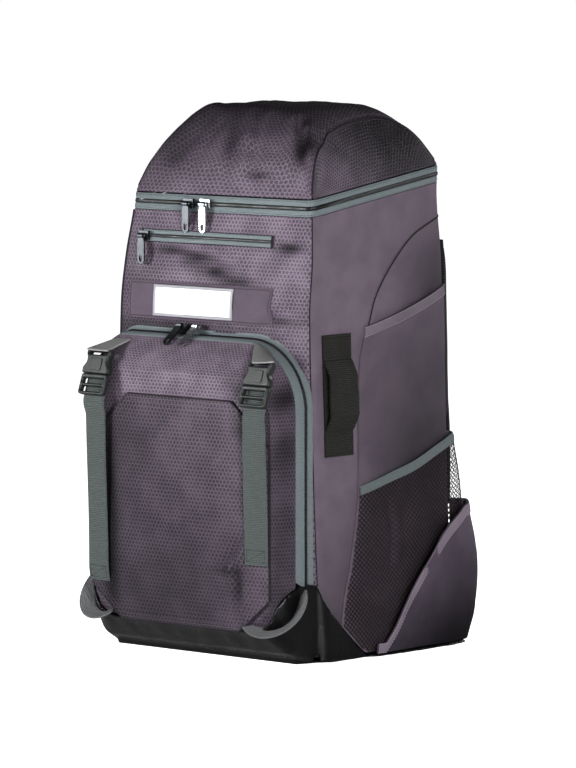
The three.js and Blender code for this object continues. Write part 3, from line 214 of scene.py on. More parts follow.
@dataclass(frozen=True)
class BodyShape:
    """The surfaces that every cloth piece lies on."""

    height: float = 516
    width: float = 240
    depth: float = 200
    zip_height: float = 423
    zip_rise: float = 26
    corner: float = 10
    straight: float = 0.9
    band: float = 15.6
    sections: Table = Table((
        (0.0, 0.531, 0.57, 0.42, 0, 0), (0.175, 0.521, 0.595, 0.41, 0.004, 0.004),
        (0.473, 0.508, 0.61, 0.4, 0.012, 0.014), (0.768, 0.496, 0.615, 0.4, 0.012, 0.012),
        (0.879, 0.4896, 0.5875, 0.4, 0.008, 0.006), (1.0, 0.4667, 0.555, 0.403, 0, 0),
        (1.09, 0.4667, 0.552, 0.405, 0, 0)))
    front_folds: tuple[Crease, ...] = (
        Crease((-66, 370), (38, 352), 6.5, 4.6, bow=9, lip=0.9),
        Crease((-80, 351), (60, 350), 2.0, 1.3, lip=0.2),
        Crease((-95, 376), (-40, 383), 8, 2.0, bow=-4, lip=0.8),
        Crease((72, 385), (104, 385), 3.0, 2.2),
        Crease((50, 304), (108, 334), 6, 3.2, bow=3, lip=0.8),
        Crease((76, 296), (112, 318), 4, 2.0, bow=-2, lip=0.6),
        Crease((-100, 309), (30, 308), 2.2, 1.4, lip=0.2),
        Crease((-105, 404), (-60, 385), 6, 1.0),
        Crease((82, 405), (108, 350), 9, 1.2, bow=-4),
    )
    side_folds: tuple[Crease, ...] = (
        Crease((-60, 395), (40, 428), 13, 1.3),
        Crease((-95, 330), (-70, 250), 9, 0.9),
        Crease((-30, 360), (60, 415), 16, 1.2),
        Crease((-98, 190), (-80, 110), 9, 1.0),
    )

    def section(self, z: Grid) -> tuple[Grid, ...]:
        """The half width, front, back, crown and bulge at a height, each read from the table of sections."""
        h = np.asarray(z, dtype=float) / self.zip_height
        half, front, back, crown, bulge = (self.sections.read(h, c) for c in range(1, 6))
        w, d = self.width, self.depth
        return half * w, -front * d, back * d, crown * w, bulge * w

    def plain(self, q: Grid, z: Grid) -> Grid:
        """The body's outer surface without folds.

        q runs round it: 0 the middle of the front, 1 the front right corner, 2 the back right one, 3 the middle of
        the back, mirrored on the left. Faces are straight with a slight crown or bulge, corners are quarter
        circles of which each face takes half.

        Args:
            q: the place round the body.
            z: the height in mm.

        Returns:
            Points in mm.
        """
        q, z = np.broadcast_arrays(np.asarray(q, dtype=float), np.asarray(z, dtype=float))
        turn = np.where(q > 3, q - 6, q)
        side = np.where(turn < 0, -1.0, 1.0)
        place = np.abs(turn)
        half_width, front, back, crown, bulge = self.section(z)
        half, r, quarter = half_width - self.corner, self.corner, math.pi / 4
        is_front = place <= 1
        share = np.where(is_front, place, 3 - place)
        edge = np.where(is_front, front, back)
        inward = np.where(is_front, 1.0, -1.0)
        x_flat = half * share / self.straight
        y_flat = edge - np.where(is_front, crown * (1 - (x_flat / half) ** 2), 0)
        angle = (share - self.straight) / (1 - self.straight) * quarter
        x_arc, y_arc = half + r * np.sin(angle), edge + inward * r * (1 - np.cos(angle))
        on_flat = share <= self.straight
        x_face, y_face = np.where(on_flat, x_flat, x_arc), np.where(on_flat, y_flat, y_arc)
        along, margin = place - 1, (1 - self.straight) / 2
        a1 = quarter + along / margin * quarter
        a2 = (1 - along) / margin * quarter + quarter
        t = (along - margin) / (1 - 2 * margin)
        x_side = half_width + bulge * 4 * t * (1 - t)
        y_side = mix(front + r, back - r, t)
        x_side = np.where(along < margin, half + r * np.sin(a1), x_side)
        y_side = np.where(along < margin, front + r - r * np.cos(a1), y_side)
        x_side = np.where(along > 1 - margin, half + r * np.sin(a2), x_side)
        y_side = np.where(along > 1 - margin, back - r + r * np.cos(a2), y_side)
        on_side = (place > 1) & (place <= 2)
        return points(side * np.where(on_side, x_side, x_face), np.where(on_side, y_side, y_face), z)

    def point(self, q: Grid, z: Grid) -> Grid:
        """The body's outer surface with its folds, which fade out at the corners and near the lid zip."""
        p = self.plain(q, z)
        turn = np.where(np.asarray(q) > 3, np.asarray(q) - 6, np.asarray(q))
        place = np.abs(turn)
        x, y, z = p[..., 0], p[..., 1], p[..., 2]
        calm = smooth(self.zip_line(q) - self.band / 2 - z, 1, 16)
        front = (1 - smooth(place, 0.86, 0.97)) * calm
        lift = folds(self.front_folds, x, z) + 0.55 * ripple(x, z, 46, 11)
        sides = smooth(place, 1.04, 1.12) * (1 - smooth(place, 1.88, 1.96)) * calm
        lift_side = folds(self.side_folds, y, z) + 0.6 * ripple(y, z, 60, 12)
        p = p.copy()
        p[..., 1] -= np.where(place < 1, lift * front, 0)
        p[..., 0] += np.where((place > 1) & (place < 2), np.sign(turn) * lift_side * sides, 0)
        return p

    def zip_line(self, q: Grid) -> Grid:
        """The height of the lid zip's middle: it rises evenly from the front to the back."""
        flat = self.plain(q, np.full(np.shape(q), self.zip_height))
        _, front, back, _, _ = self.section(self.zip_height)
        return self.zip_height + self.zip_rise * (flat[..., 1] - front) / (back - front)

    def front(self, x: Grid, z: Grid, folded: bool = True) -> Grid:
        """A point on the body's front at x and z, with the folds if asked."""
        x, z = np.broadcast_arrays(np.asarray(x, dtype=float), np.asarray(z, dtype=float))
        half_width, front, _, crown, _ = self.section(z)
        half = half_width - self.corner
        over = np.clip(np.abs(x) - half, 0, self.corner * 0.98)
        rise = np.where(over > 0, 0, crown * (1 - (x / half) ** 2))
        y = front - rise + self.corner - np.sqrt(self.corner ** 2 - over ** 2)
        if folded:
            lift = folds(self.front_folds, x, z) + 0.55 * ripple(x, z, 46, 11)
            y = y - lift * (1 - smooth(np.abs(x) / half, 0.955, 1.0))
        return points(x, y, z)


@dataclass(frozen=True)
class LidShape:
    """The domed lid over the zip."""

    body: BodyShape = BodyShape()
    walls: Walls = Walls()
    seam_share: float = 0.67
    seam_top: float = 0.3
    profile: Table = Table((
        (0.0, 1.0), (0.3, 0.995), (0.45, 0.98), (0.54, 0.94), (0.65, 0.82), (0.79, 0.59), (0.89, 0.37), (1.0, 0.0)))
    dents: tuple[tuple[float, ...], ...] = (
        (0.42, -0.42, 0.2, 0.05), (-0.35, -0.78, 0.16, 0.04), (0.16, -0.86, 0.14, 0.04))
    creases: tuple[Crease, ...] = (
        Crease((100, -88), (62, -46), 5.0, 6.5, bow=5, lip=1.1),
        Crease((38, -92), (14, -40), 6.5, 5.0, bow=4, lip=0.9),
        Crease((-5, -88), (34, -80), 3.4, 3.8, bow=4, lip=0.8),
        Crease((-80, -92), (-36, -50), 6.5, 4.4, bow=-5, lip=0.9),
        Crease((-44, -94), (-22, -56), 5.0, 3.4, bow=3, lip=0.8),
        Crease((8, -94), (-8, -50), 5.5, 3.6, bow=3, lip=0.8),
        Crease((-88, -60), (-64, -30), 7, 2.0, lip=0.6),
        Crease((86, -84), (98, -30), 5, 3.4, bow=4, lip=0.8),
        Crease((80, 20), (96, 52), 8, 1.6, lip=0.5),
    )

    @property
    def rim_rise(self) -> float:
        """How far the lid's rim lies above the middle of the zip band."""
        return self.body.band / 2 + self.walls.gap + self.walls.cloth / 2

    @property
    def rim(self) -> tuple[float, float, float]:
        """The rim's half width, half depth and the Y of its middle."""
        half, front, back, _, _ = self.body.section(self.body.zip_height + self.rim_rise)
        return float(half), float(back - front) / 2, float(back + front) / 2

    def reach(self, x: Grid, y: Grid) -> Grid:
        """How far a plan point lies from the lid's middle, with 1 on the rim, a rounded rectangle."""
        half_w, half_d, _ = self.rim
        r = self.body.corner
        px, py = np.abs(x), np.abs(y)
        cx, cy = half_w - r, half_d - r
        straight = np.maximum(np.maximum(px / half_w, py / half_d), 1e-9)
        dot = px * cx + py * cy
        length = np.maximum(px * px + py * py, 1e-9)
        inside = dot * dot - length * (cx * cx + cy * cy - r ** 2)
        arc = length / np.maximum(dot + np.sqrt(np.maximum(inside, 0)), 1e-9)
        on_straight = (px / straight < cx) | (py / straight < cy)
        return np.where(on_straight, straight, arc)

    def point(self, x: Grid, y: Grid) -> Grid:
        """A point on the lid above x and y: the rim's height plus a profile of the reach, less dents and creases."""
        half_w, half_d, middle = self.rim
        reach = np.minimum(self.reach(x, y), 1)
        rim_y = np.where(reach > 0.05, y / np.maximum(reach, 0.05), 0)
        rim = self.body.zip_height + self.body.zip_rise * (rim_y + half_d) / (2 * half_d) + self.rim_rise
        rise = self.profile.read(reach, 1)
        for across, along, size, depth in self.dents:
            dx, dy = (x / half_w - across) / size, (y / half_d - along) / size
            rise = rise - depth * np.exp(-(dx * dx + dy * dy)) * (1 - reach ** 6)
        calm = 1 - smooth(reach, 0.9, 1.0)
        lift = (folds(self.creases, x, y) + 1.1 * ripple(x, y, 38, 21) + 0.4 * ripple(x, y, 17, 22)) * calm
        z = rim + (self.body.height - rim) * rise
        return points(x, middle + y, np.minimum(z + lift, self.body.height + 1))

    def seam(self, along: Grid) -> Grid:
        """Half the width of the lid's middle panel: narrowest near its top, full width at the rim."""
        half_w = self.rim[0]
        span = np.where(along < self.seam_top, self.seam_top + 1, 1 - self.seam_top)
        t = np.abs(along - self.seam_top) / span
        return mix(self.seam_share * half_w, half_w - self.body.corner * (1 - math.sqrt(0.5)), t ** 2.2)

    def depth_at(self, x: Grid) -> Grid:
        """The rim's half depth at x."""
        half_w, half_d, _ = self.rim
        over = np.clip(np.abs(x) - (half_w - self.body.corner), 0, self.body.corner)
        return half_d - self.body.corner + np.sqrt(self.body.corner ** 2 - over ** 2)

    def centre(self, across: Grid, along: Grid) -> Grid:
        """A point on the middle panel."""
        x = across * (self.seam(along) - self.walls.gap * 0.8)
        return self.point(x, along * self.depth_at(x))

    def gusset(self, side: Side, along: Grid, outward: Grid) -> Grid:
        """A point on a side panel, from the seam (0) to the rim (1)."""
        half_w, half_d, _ = self.rim
        r = self.body.corner
        seam_x = self.seam(along) + self.walls.gap * 0.8
        seam_y = along * self.depth_at(seam_x)
        rim_y = along * (half_d - r * (1 - math.sqrt(0.5)))
        over = np.clip(np.abs(rim_y) - (half_d - r), 0, r)
        rim_x = half_w - r + np.sqrt(r ** 2 - over ** 2)
        return self.point(side.value * mix(seam_x, rim_x, outward), mix(seam_y, rim_y, outward))


@dataclass(frozen=True)
class PocketShape:
    """The deep front pocket."""

    body: BodyShape = BodyShape()
    walls: Walls = Walls()
    depth: float = 49
    width: float = 240
    top: float = 305
    bottom: float = 4
    bulge: float = 7
    shoulder_left: float = 30
    shoulder_right: float = 66
    band_row: float = 2
    face_row: float = 4
    sections: Table = Table((
        (0, 0.0, 0.0, 0.0, 0.0, 0.1, 0.243), (1, 0.3, 0.003, 0.013, 0.006, 0.12, 0.243),
        (2, 0.49, 0.006, 0.023, 0.032, 0.15, 0.243), (3, 0.79, 0.021, 0.066, 0.082, 0.3, 0.214),
        (4, 1.0, 0.046, 0.118, 0.112, 0.45, 0.16)))
    face_folds: tuple[Crease, ...] = (
        Crease((112, 250), (98, 120), 6, 1.2),
        Crease((-60, 292), (40, 288), 5, 0.8),
    )

    def section(self, k: Grid) -> tuple[Grid, ...]:
        """The forward place, half width, top, bottom, shrink, foot radius and boot cover at a place k outwards."""
        read = [self.sections.read(k, c) for c in range(1, 7)]
        forward, side, top, bottom, round_, cover = read
        side, top = side * self.width, top * self.top
        return (forward * self.depth, self.width / 2 - side, self.top - top, self.bottom + bottom * self.top,
                (side + top) / 2, round_ * self.shoulder_right, cover * self.top)

    def outline(self, turn: Grid, k: Grid) -> tuple[Grid, Grid]:
        """X and Z on the pocket's outline. turn runs 0 to 5 from the bottom middle up the right side, then down."""
        turn, k = np.broadcast_arrays(np.asarray(turn, dtype=float), np.asarray(k, dtype=float))
        side = np.where(turn <= 5, 1.0, -1.0)
        t = np.where(turn <= 5, turn, 10 - turn)
        _, half, top, bottom, shrink, foot, _ = self.section(k)
        shoulder = np.where(side > 0, self.shoulder_right, self.shoulder_left) - shrink
        shoulder = np.maximum(shoulder, self.body.corner)
        a1, a3 = (t - 1) * math.pi / 2, (t - 3) * math.pi / 2
        x = np.select([t <= 1, t <= 2, t <= 3, t <= 4],
                      [t * (half - foot), half - foot + foot * np.sin(a1), half,
                       half - shoulder + shoulder * np.cos(a3)], (5 - t) * (half - shoulder))
        z = np.select([t <= 1, t <= 2, t <= 3, t <= 4],
                      [bottom, bottom + foot * (1 - np.cos(a1)), mix(bottom + foot, top - shoulder, t - 2),
                       top - shoulder + shoulder * np.sin(a3)], top)
        return side * x, z

    def turn_at(self, side: Side, z: Grid, k: Grid) -> Grid:
        """The place on the outline at a height on its lower half."""
        _, _, top, bottom, shrink, foot, _ = self.section(k)
        shoulder = np.maximum((self.shoulder_right if side is Side.RIGHT else self.shoulder_left) - shrink,
                              self.body.corner)
        arc_top = bottom + foot
        low = 1 + 2 / math.pi * np.arccos(np.clip((arc_top - z) / foot, -1, 1))
        t = np.where(z < arc_top, low, 2 + (z - arc_top) / (top - shoulder - arc_top))
        return t if side is Side.RIGHT else 10 - t

    def arch_turn(self, side: Side, x: Grid, k: Grid) -> Grid:
        """The place across the pocket's arch at x from the middle."""
        _, half, _, _, shrink, _, _ = self.section(k)
        shoulder = np.maximum((self.shoulder_right if side is Side.RIGHT else self.shoulder_left) - shrink,
                              self.body.corner)
        flat = half - shoulder
        arc = 3 + 2 / math.pi * np.arccos(np.clip((x - flat) / shoulder, -1, 1))
        turn = np.where(x <= flat, 5 - x / flat, arc)
        return turn if side is Side.RIGHT else 10 - turn

    @property
    def plane(self) -> float:
        """The Y of the plane that the pocket's depth is measured from."""
        return float(self.body.section(0.175 * self.body.zip_height)[1])

    @property
    def face_rim(self) -> tuple[float, float, float, float]:
        """The face's forward place, half width, middle height and half height."""
        forward, half, top, bottom, *_ = (float(v) for v in self.section(self.face_row))
        return forward, half, (top + bottom) / 2, (top - bottom) / 2

    def face_y(self, x: Grid, z: Grid) -> Grid:
        """The pocket's face: flat with a soft crown that falls off towards its rim both ways."""
        forward, half, middle, half_height = self.face_rim
        across = np.maximum(1 - (x / half) ** 2, 0)
        up = np.maximum(1 - ((z - middle) / half_height) ** 2, 0)
        lift = folds(self.face_folds, x, z) * np.minimum(across * 6, 1) * np.minimum(up * 6, 1)
        return self.plane - forward - self.bulge * across * up - lift

    def point(self, turn: Grid, k: Grid) -> Grid:
        """A point on the pocket. Past the face's rim the outline shrinks to the middle of the face."""
        turn, k = np.broadcast_arrays(np.asarray(turn, dtype=float), np.asarray(k, dtype=float))
        scale = np.clip(1 - (k - self.face_row), 0, 1)
        _, _, middle, _ = self.face_rim
        inner = np.minimum(k, self.face_row)
        x, z = self.outline(turn, inner)
        forward = self.section(inner)[0]
        band = float(self.section(self.band_row)[0])
        near = np.maximum(np.abs(x) - self.walls.tape - self.walls.gap / 2, 0)
        start = self.body.front(near, z, folded=False)[..., 1] - self.walls.gap
        y = mix(start, self.plane - forward, np.minimum(forward / band, 1))
        on_face = k > self.face_row
        fx, fz = scale * x, middle + scale * (z - middle)
        return points(np.where(on_face, fx, x), np.where(on_face, self.face_y(fx, fz), y),
                      np.where(on_face, fz, z))


# ---------------------------------------------------------------- meshes


BAG_MIDDLE = np.array([0.0, -20.0, 211.0])


def put_mesh(name: str, verts: Grid, quads: Grid, uvs: Grid | None = None, sharp: float = 0.9) -> bpy.types.Object:
    """Makes an object from points in mm and four-cornered faces.

    Args:
        name: the piece's name.
        verts: points in mm, one row each.
        quads: vertex numbers, four to a row.
        uvs: a UV pair in mm for each corner of each face, in face order.
        sharp: edges turned further than this many radians shade as creases.

    Returns:
        The object, in metres at the origin.
    """
    mesh = bpy.data.meshes.new(name)
    mesh.vertices.add(len(verts))
    mesh.vertices.foreach_set("co", (np.asarray(verts) * MM).ravel())
    mesh.loops.add(quads.size)
    mesh.loops.foreach_set("vertex_index", quads.astype(np.int32).ravel())
    mesh.polygons.add(len(quads))
    mesh.polygons.foreach_set("loop_start", np.arange(0, quads.size, 4, dtype=np.int32))
    if uvs is not None:
        mesh.uv_layers.new(name="Cut").data.foreach_set("uv", np.asarray(uvs, dtype=np.float32).ravel())
    mesh.update(calc_edges=True)
    mesh.shade_smooth()
    mesh.set_sharp_from_angle(angle=sharp)
    made = bpy.data.objects.new(name, mesh)
    bpy.context.scene.collection.objects.link(made)
    return made


def lines(low: float, high: float, count: int, edge: float = 0.0) -> Grid:
    """Even steps from low to high, with two more lines close to each end for a turned edge.

    Args:
        low: first value.
        high: last value.
        count: the number of even steps.
        edge: the share of the whole at which the further extra line lies, or 0 for none.

    Returns:
        The values in order.
    """
    even = np.linspace(0, 1, count + 1)
    if edge:
        near = np.array([edge * 0.3, edge])
        even = np.unique(np.concatenate([even, near, 1 - near]))
    return low + (high - low) * even


@dataclass
class SheetMesh:
    """The points and normals of a surface on a grid, which cloth of any thickness is laid over."""

    place: Grid
    normal: Grid
    across: Grid
    up: Grid

    @classmethod
    def over(cls, surface: Surface, us: Grid, vs: Grid, centre: Grid = BAG_MIDDLE) -> SheetMesh:
        """Samples a surface. Normals are the cross product of its two differences, turned away from a centre.

        Args:
            surface: gives points for grids of u and v.
            us: the places across.
            vs: the places up.
            centre: the point that the cloth faces away from.

        Returns:
            The sampled surface.
        """
        u, v = np.meshgrid(us, vs, indexing="ij")
        p = surface(u, v)
        n = np.cross(np.gradient(p, axis=0), np.gradient(p, axis=1))
        n /= np.maximum(np.linalg.norm(n, axis=-1, keepdims=True), 1e-12)
        i, j = len(us) // 2, len(vs) // 2
        if np.dot(n[i, j], p[i, j] - centre) < 0:
            n = -n
        return cls(p, n, u, v)

    def lengths(self) -> tuple[Grid, Grid]:
        """Arc lengths in mm along both ways of the grid, measured on its middle lines."""
        i, j = self.place.shape[0] // 2, self.place.shape[1] // 2
        du = np.linalg.norm(np.diff(self.place[:, j], axis=0), axis=-1)
        dv = np.linalg.norm(np.diff(self.place[i], axis=0), axis=-1)
        return np.concatenate([[0], np.cumsum(du)]), np.concatenate([[0], np.cumsum(dv)])


def lay(name: str, grid: SheetMesh, inner: Grid | float, outer: Grid | float, wrap: bool = False,
        hem: float = 0.0, uv_from: tuple[int, int] | Grid | None = None, sharp: float = 0.9) -> bpy.types.Object:
    """A closed sheet of cloth between two offsets from a surface, with softened edges.

    Args:
        name: the piece's name.
        grid: the sampled surface.
        inner: offset of the inner face in mm.
        outer: offset of the outer face in mm.
        wrap: whether the first and last lines across are the same.
        hem: how far the outer face sinks at a free edge, as on a turned edge, in mm.
        uv_from: the pattern's place in mm on the whole grid, or two of the three axes to take it from, instead of
            lengths along the cloth.
        sharp: edges turned further than this many radians shade as creases.

    Returns:
        The object.
    """
    n, m = grid.place.shape[:2]
    length_u, length_v = grid.lengths()
    outer = np.broadcast_to(np.asarray(outer, dtype=float), (n, m))
    inner = np.broadcast_to(np.asarray(inner, dtype=float), (n, m))
    if hem:
        du = np.minimum(length_u, length_u[-1] - length_u)[:, None]
        dv = np.minimum(length_v, length_v[-1] - length_v)[None, :]
        near = np.broadcast_to(dv if wrap else np.minimum(du, dv), (n, m))
        t = np.clip(1 - near / (2 * hem), 0, 1)
        outer = outer - hem * (1 - np.sqrt(1 - t * t))
    top = grid.place + grid.normal * outer[..., None]
    low = grid.place + grid.normal * inner[..., None]
    columns = n - 1 if wrap else n
    verts = np.concatenate([top[:columns].reshape(-1, 3), low[:columns].reshape(-1, 3)])
    i, j = np.meshgrid(np.arange(n - 1), np.arange(m - 1), indexing="ij")
    corners = [(i, j), (i + 1, j), (i + 1, j + 1), (i, j + 1)]
    at = lambda layer, a, b: (layer * columns + a % columns) * m + b
    if uv_from is None:
        flat = np.stack(np.meshgrid(length_u, length_v, indexing="ij"), axis=-1)
    elif isinstance(uv_from, np.ndarray):
        flat = uv_from
    else:
        flat = grid.place[..., list(uv_from)]
    quads = [np.stack([at(0, *c) for c in corners], axis=-1).reshape(-1, 4),
             np.stack([at(1, *c) for c in reversed(corners)], axis=-1).reshape(-1, 4)]
    face_uv = [np.stack([flat[c] for c in corners], axis=-2).reshape(-1, 2),
               np.stack([flat[c] for c in reversed(corners)], axis=-2).reshape(-1, 2)]
    k = np.arange(n - 1)
    rims = [(k, 0, k + 1, 0, True), (k, m - 1, k + 1, m - 1, False)]
    if not wrap:
        k2 = np.arange(m - 1)
        rims += [(0, k2, 0, k2 + 1, False), (n - 1, k2, n - 1, k2 + 1, True)]
    for a, b, c, d, forward in rims:
        a, b, c, d = np.broadcast_arrays(a, b, c, d)
        ring = [(0, a, b), (1, a, b), (1, c, d), (0, c, d)]
        ring = ring if forward else ring[::-1]
        quads.append(np.stack([at(*r) for r in ring], axis=-1))
        face_uv.append(np.stack([flat[r[1], r[2]] for r in ring], axis=-2).reshape(-1, 2))
    quads_all, uv_all = np.concatenate(quads), np.concatenate(face_uv)
    first = quads_all[0]
    facing = np.cross(verts[first[1]] - verts[first[0]], verts[first[2]] - verts[first[0]])
    if np.dot(facing, grid.normal[0, 0]) < 0:
        quads_all = quads_all[:, ::-1]
        uv_all = uv_all.reshape(-1, 4, 2)[:, ::-1].reshape(-1, 2)
    return put_mesh(name, verts, quads_all, uv_all, sharp)


def sweep(name: str, path: Grid, profile: Grid, up: Grid, closed: bool = False) -> bpy.types.Object:
    """A profile carried along a path.

    At each place the frame is the path's direction t, the side s = t x up and the lift l = s x t. A profile point
    (a, b) lies at path + a * s + b * l.

    Args:
        name: the piece's name.
        path: points in mm, one row each.
        profile: the closed outline's (a, b) rows in mm, anticlockwise.
        up: the outward direction at each point, or one for all.
        closed: whether the path ends where it starts.

    Returns:
        The object, with flat ends when the path is open.
    """
    step = np.gradient(path, axis=0) if not closed else np.roll(path, -1, 0) - np.roll(path, 1, 0)
    t = step / np.maximum(np.linalg.norm(step, axis=1, keepdims=True), 1e-9)
    s = np.cross(t, np.broadcast_to(up, path.shape))
    s /= np.maximum(np.linalg.norm(s, axis=1, keepdims=True), 1e-9)
    lift = np.cross(s, t)
    n, m = len(path), len(profile)
    ring = (path[:, None] + profile[None, :, :1] * s[:, None] + profile[None, :, 1:] * lift[:, None])
    verts = ring.reshape(-1, 3)
    rows = n if closed else n - 1
    i, j = np.meshgrid(np.arange(rows), np.arange(m), indexing="ij")
    a, b = i * m + j, i * m + (j + 1) % m
    c, d = ((i + 1) % n) * m + (j + 1) % m, ((i + 1) % n) * m + j
    quads = np.stack([a, b, c, d], axis=-1).reshape(-1, 4)
    along = np.concatenate([[0], np.cumsum(np.linalg.norm(np.diff(path, axis=0), axis=1))])
    along = np.append(along, along[-1] + 1)
    around = np.concatenate([[0], np.cumsum(np.linalg.norm(np.diff(profile, axis=0), axis=1))])
    around = np.append(around, around[-1] + 1)
    uv = np.stack([np.stack([around[jj], along[ii]], axis=-1)
                   for ii, jj in ((i, j), (i, j + 1), (i + 1, j + 1), (i + 1, j))], axis=-2)
    uv = uv.reshape(-1, 2)
    if not closed:
        verts = np.concatenate([verts, path[:1], path[-1:]])
        caps = []
        for base, tip, flip in ((0, n * m, False), ((n - 1) * m, n * m + 1, True)):
            half = np.arange(0, m - 1, 2)
            cap = np.stack([base + (half + 2) % m, base + half + 1, base + half, np.full(len(half), tip)], axis=-1)
            caps.append(cap[:, ::-1] if flip else cap)
        quads = np.concatenate([quads, *caps])
        uv = np.concatenate([uv, np.zeros((4 * sum(len(c) for c in caps), 2))])
    return put_mesh(name, verts, quads, uv)


def round_profile(radius: float, count: int = 8) -> Grid:
    """A circle's outline with an even number of points."""
    angle = np.arange(count) * 2 * math.pi / count
    return np.stack([radius * np.cos(angle), radius * np.sin(angle)], axis=-1)


def flat_profile(width: float, thick: float, soft: float = 0.35) -> Grid:
    """A flat ribbon's outline with rounded edges: width across, thick outwards, standing on its path."""
    w, t = width / 2, thick
    e = min(soft * thick, thick / 2)
    return np.array([[w - e, 0], [w, e], [w, t - e], [w - e, t], [0, t], [-w + e, t], [-w, t - e], [-w, e],
                     [-w + e, 0], [0, 0]])[::-1]


def repeat_shape(name: str, verts: Grid, quads: Grid, origins: Grid, frames: Grid, sharp: float = 0.9
                 ) -> bpy.types.Object:
    """One small shape repeated at many places, as a single mesh.

    Args:
        name: the piece's name.
        verts: the shape's points in mm.
        quads: the shape's faces.
        origins: a place for each copy.
        frames: three axes (rows) for each copy.
        sharp: edges turned further than this many radians shade as creases.

    Returns:
        The object. A copy's point is origin + x * axis 0 + y * axis 1 + z * axis 2.
    """
    placed = origins[:, None, :] + np.einsum("vk,nkc->nvc", verts, frames)
    shift = (np.arange(len(origins)) * len(verts))[:, None, None]
    return put_mesh(name, placed.reshape(-1, 3), (quads[None] + shift).reshape(-1, 4), None, sharp)


BEAD_POINTS = np.array([[x, y, z] for x in (-0.5, -0.3, 0.3, 0.5) for y, z in ((-1, 0), (0, 1), (1, 0), (0, -1))])
BEAD_FACES = np.array([[4 * i + j, 4 * i + (j + 1) % 4, 4 * i + 4 + (j + 1) % 4, 4 * i + 4 + j]
                       for i in range(3) for j in range(4)] + [[3, 2, 1, 0], [12, 13, 14, 15]])


def bead(length: float, width: float, height: float, tip: float = 0.35) -> tuple[Grid, Grid]:
    """A small long bead with narrow tips, such as one stitch: its points and faces."""
    narrow = np.where(np.abs(BEAD_POINTS[:, :1]) > 0.4, tip, 1.0)
    shape = BEAD_POINTS * np.array([1, 0.5, 0.5]) * np.concatenate([np.ones_like(narrow), narrow, narrow], axis=1)
    return shape * np.array([length, width, height]), BEAD_FACES


def resample(path: Grid, pitch: float) -> Grid:
    """Points at even lengths along a path of straight pieces."""
    run = np.concatenate([[0], np.cumsum(np.linalg.norm(np.diff(path, axis=0), axis=1))])
    count = max(int(round(run[-1] / pitch)), 1)
    at = np.linspace(0, run[-1], count + 1)
    return np.stack([np.interp(at, run, path[:, c]) for c in range(3)], axis=-1)


def path_frames(path: Grid, up: Grid) -> Grid:
    """Axes along a path at each point: forward, sideways and outward."""
    t = np.gradient(path, axis=0)
    t /= np.maximum(np.linalg.norm(t, axis=1, keepdims=True), 1e-9)
    s = np.cross(np.broadcast_to(up, path.shape), t)
    s /= np.maximum(np.linalg.norm(s, axis=1, keepdims=True), 1e-9)
    return np.stack([t, s, np.cross(t, s)], axis=1)


def stitch_row(name: str, paths: Sequence[tuple[Grid, Grid]], pitch: float = 3.0, length: float = 2.0,
               width: float = 0.55, height: float = 0.5) -> bpy.types.Object:
    """Rows of thread stitches lying on cloth along paths.

    Args:
        name: the piece's name.
        paths: pairs of a path on the cloth and the outward direction along it.
        pitch: distance between stitches in mm.
        length: each stitch's length in mm.
        width: the thread's width in mm.
        height: how far it stands, half of it sunk, in mm.

    Returns:
        The object.
    """
    shape, faces = bead(length, width, height)
    origins, frames = [], []
    for path, up in paths:
        even = resample(path, pitch)
        ups = np.broadcast_to(up, path.shape)
        run = np.concatenate([[0], np.cumsum(np.linalg.norm(np.diff(path, axis=0), axis=1))])
        at = np.linspace(0, run[-1], len(even))
        even_up = np.stack([np.interp(at, run, ups[:, c]) for c in range(3)], axis=-1)
        origins.append(even)
        frames.append(path_frames(even, even_up))
    return repeat_shape(name, shape, faces, np.concatenate(origins), np.concatenate(frames))


# ---------------------------------------------------------------- finishes


def linear(colour: str) -> tuple[float, float, float, float]:
    """Turns an sRGB hex colour to linear, opaque."""
    parts = [int(colour[i:i + 2], 16) / 255 for i in (1, 3, 5)]
    return (*[p / 12.92 if p <= 0.04045 else ((p + 0.055) / 1.055) ** 2.4 for p in parts], 1.0)


def add(tree: bpy.types.NodeTree, kind: str, inputs: dict | None = None, **settings) -> bpy.types.Node:
    """Adds a node.

    Args:
        tree: the material's node tree.
        kind: the node's type.
        inputs: values or sockets by input name or number.
        settings: the node's own properties.

    Returns:
        The node.
    """
    made = tree.nodes.new(kind)
    for key, value in settings.items():
        setattr(made, key, value)
    for key, value in (inputs or {}).items():
        if isinstance(value, bpy.types.NodeSocket):
            tree.links.new(value, made.inputs[key])
        else:
            made.inputs[key].default_value = value
    return made


def calc(tree: bpy.types.NodeTree, operation: str, *values: bpy.types.NodeSocket | float) -> bpy.types.NodeSocket:
    """The result of one sum on numbers."""
    return add(tree, "ShaderNodeMath", dict(enumerate(values)), operation=operation).outputs[0]


def ramp(tree: bpy.types.NodeTree, value: bpy.types.NodeSocket, low: float, high: float,
         to_low: float = 0.0, to_high: float = 1.0) -> bpy.types.NodeSocket:
    """A number carried smoothly from one range to another."""
    return add(tree, "ShaderNodeMapRange", {"Value": value, "From Min": low, "From Max": high, "To Min": to_low,
                                            "To Max": to_high}, interpolation_type="SMOOTHSTEP").outputs[0]


def blend(tree: bpy.types.NodeTree, share: bpy.types.NodeSocket | float, a: Paint, b: Paint
          ) -> bpy.types.NodeSocket:
    """A colour share of the way from a to b."""
    made = add(tree, "ShaderNodeMix", data_type="RGBA")
    for key, value in ((0, share), (6, a), (7, b)):
        if isinstance(value, bpy.types.NodeSocket):
            tree.links.new(value, made.inputs[key])
        else:
            made.inputs[key].default_value = value
    return made.outputs[2]


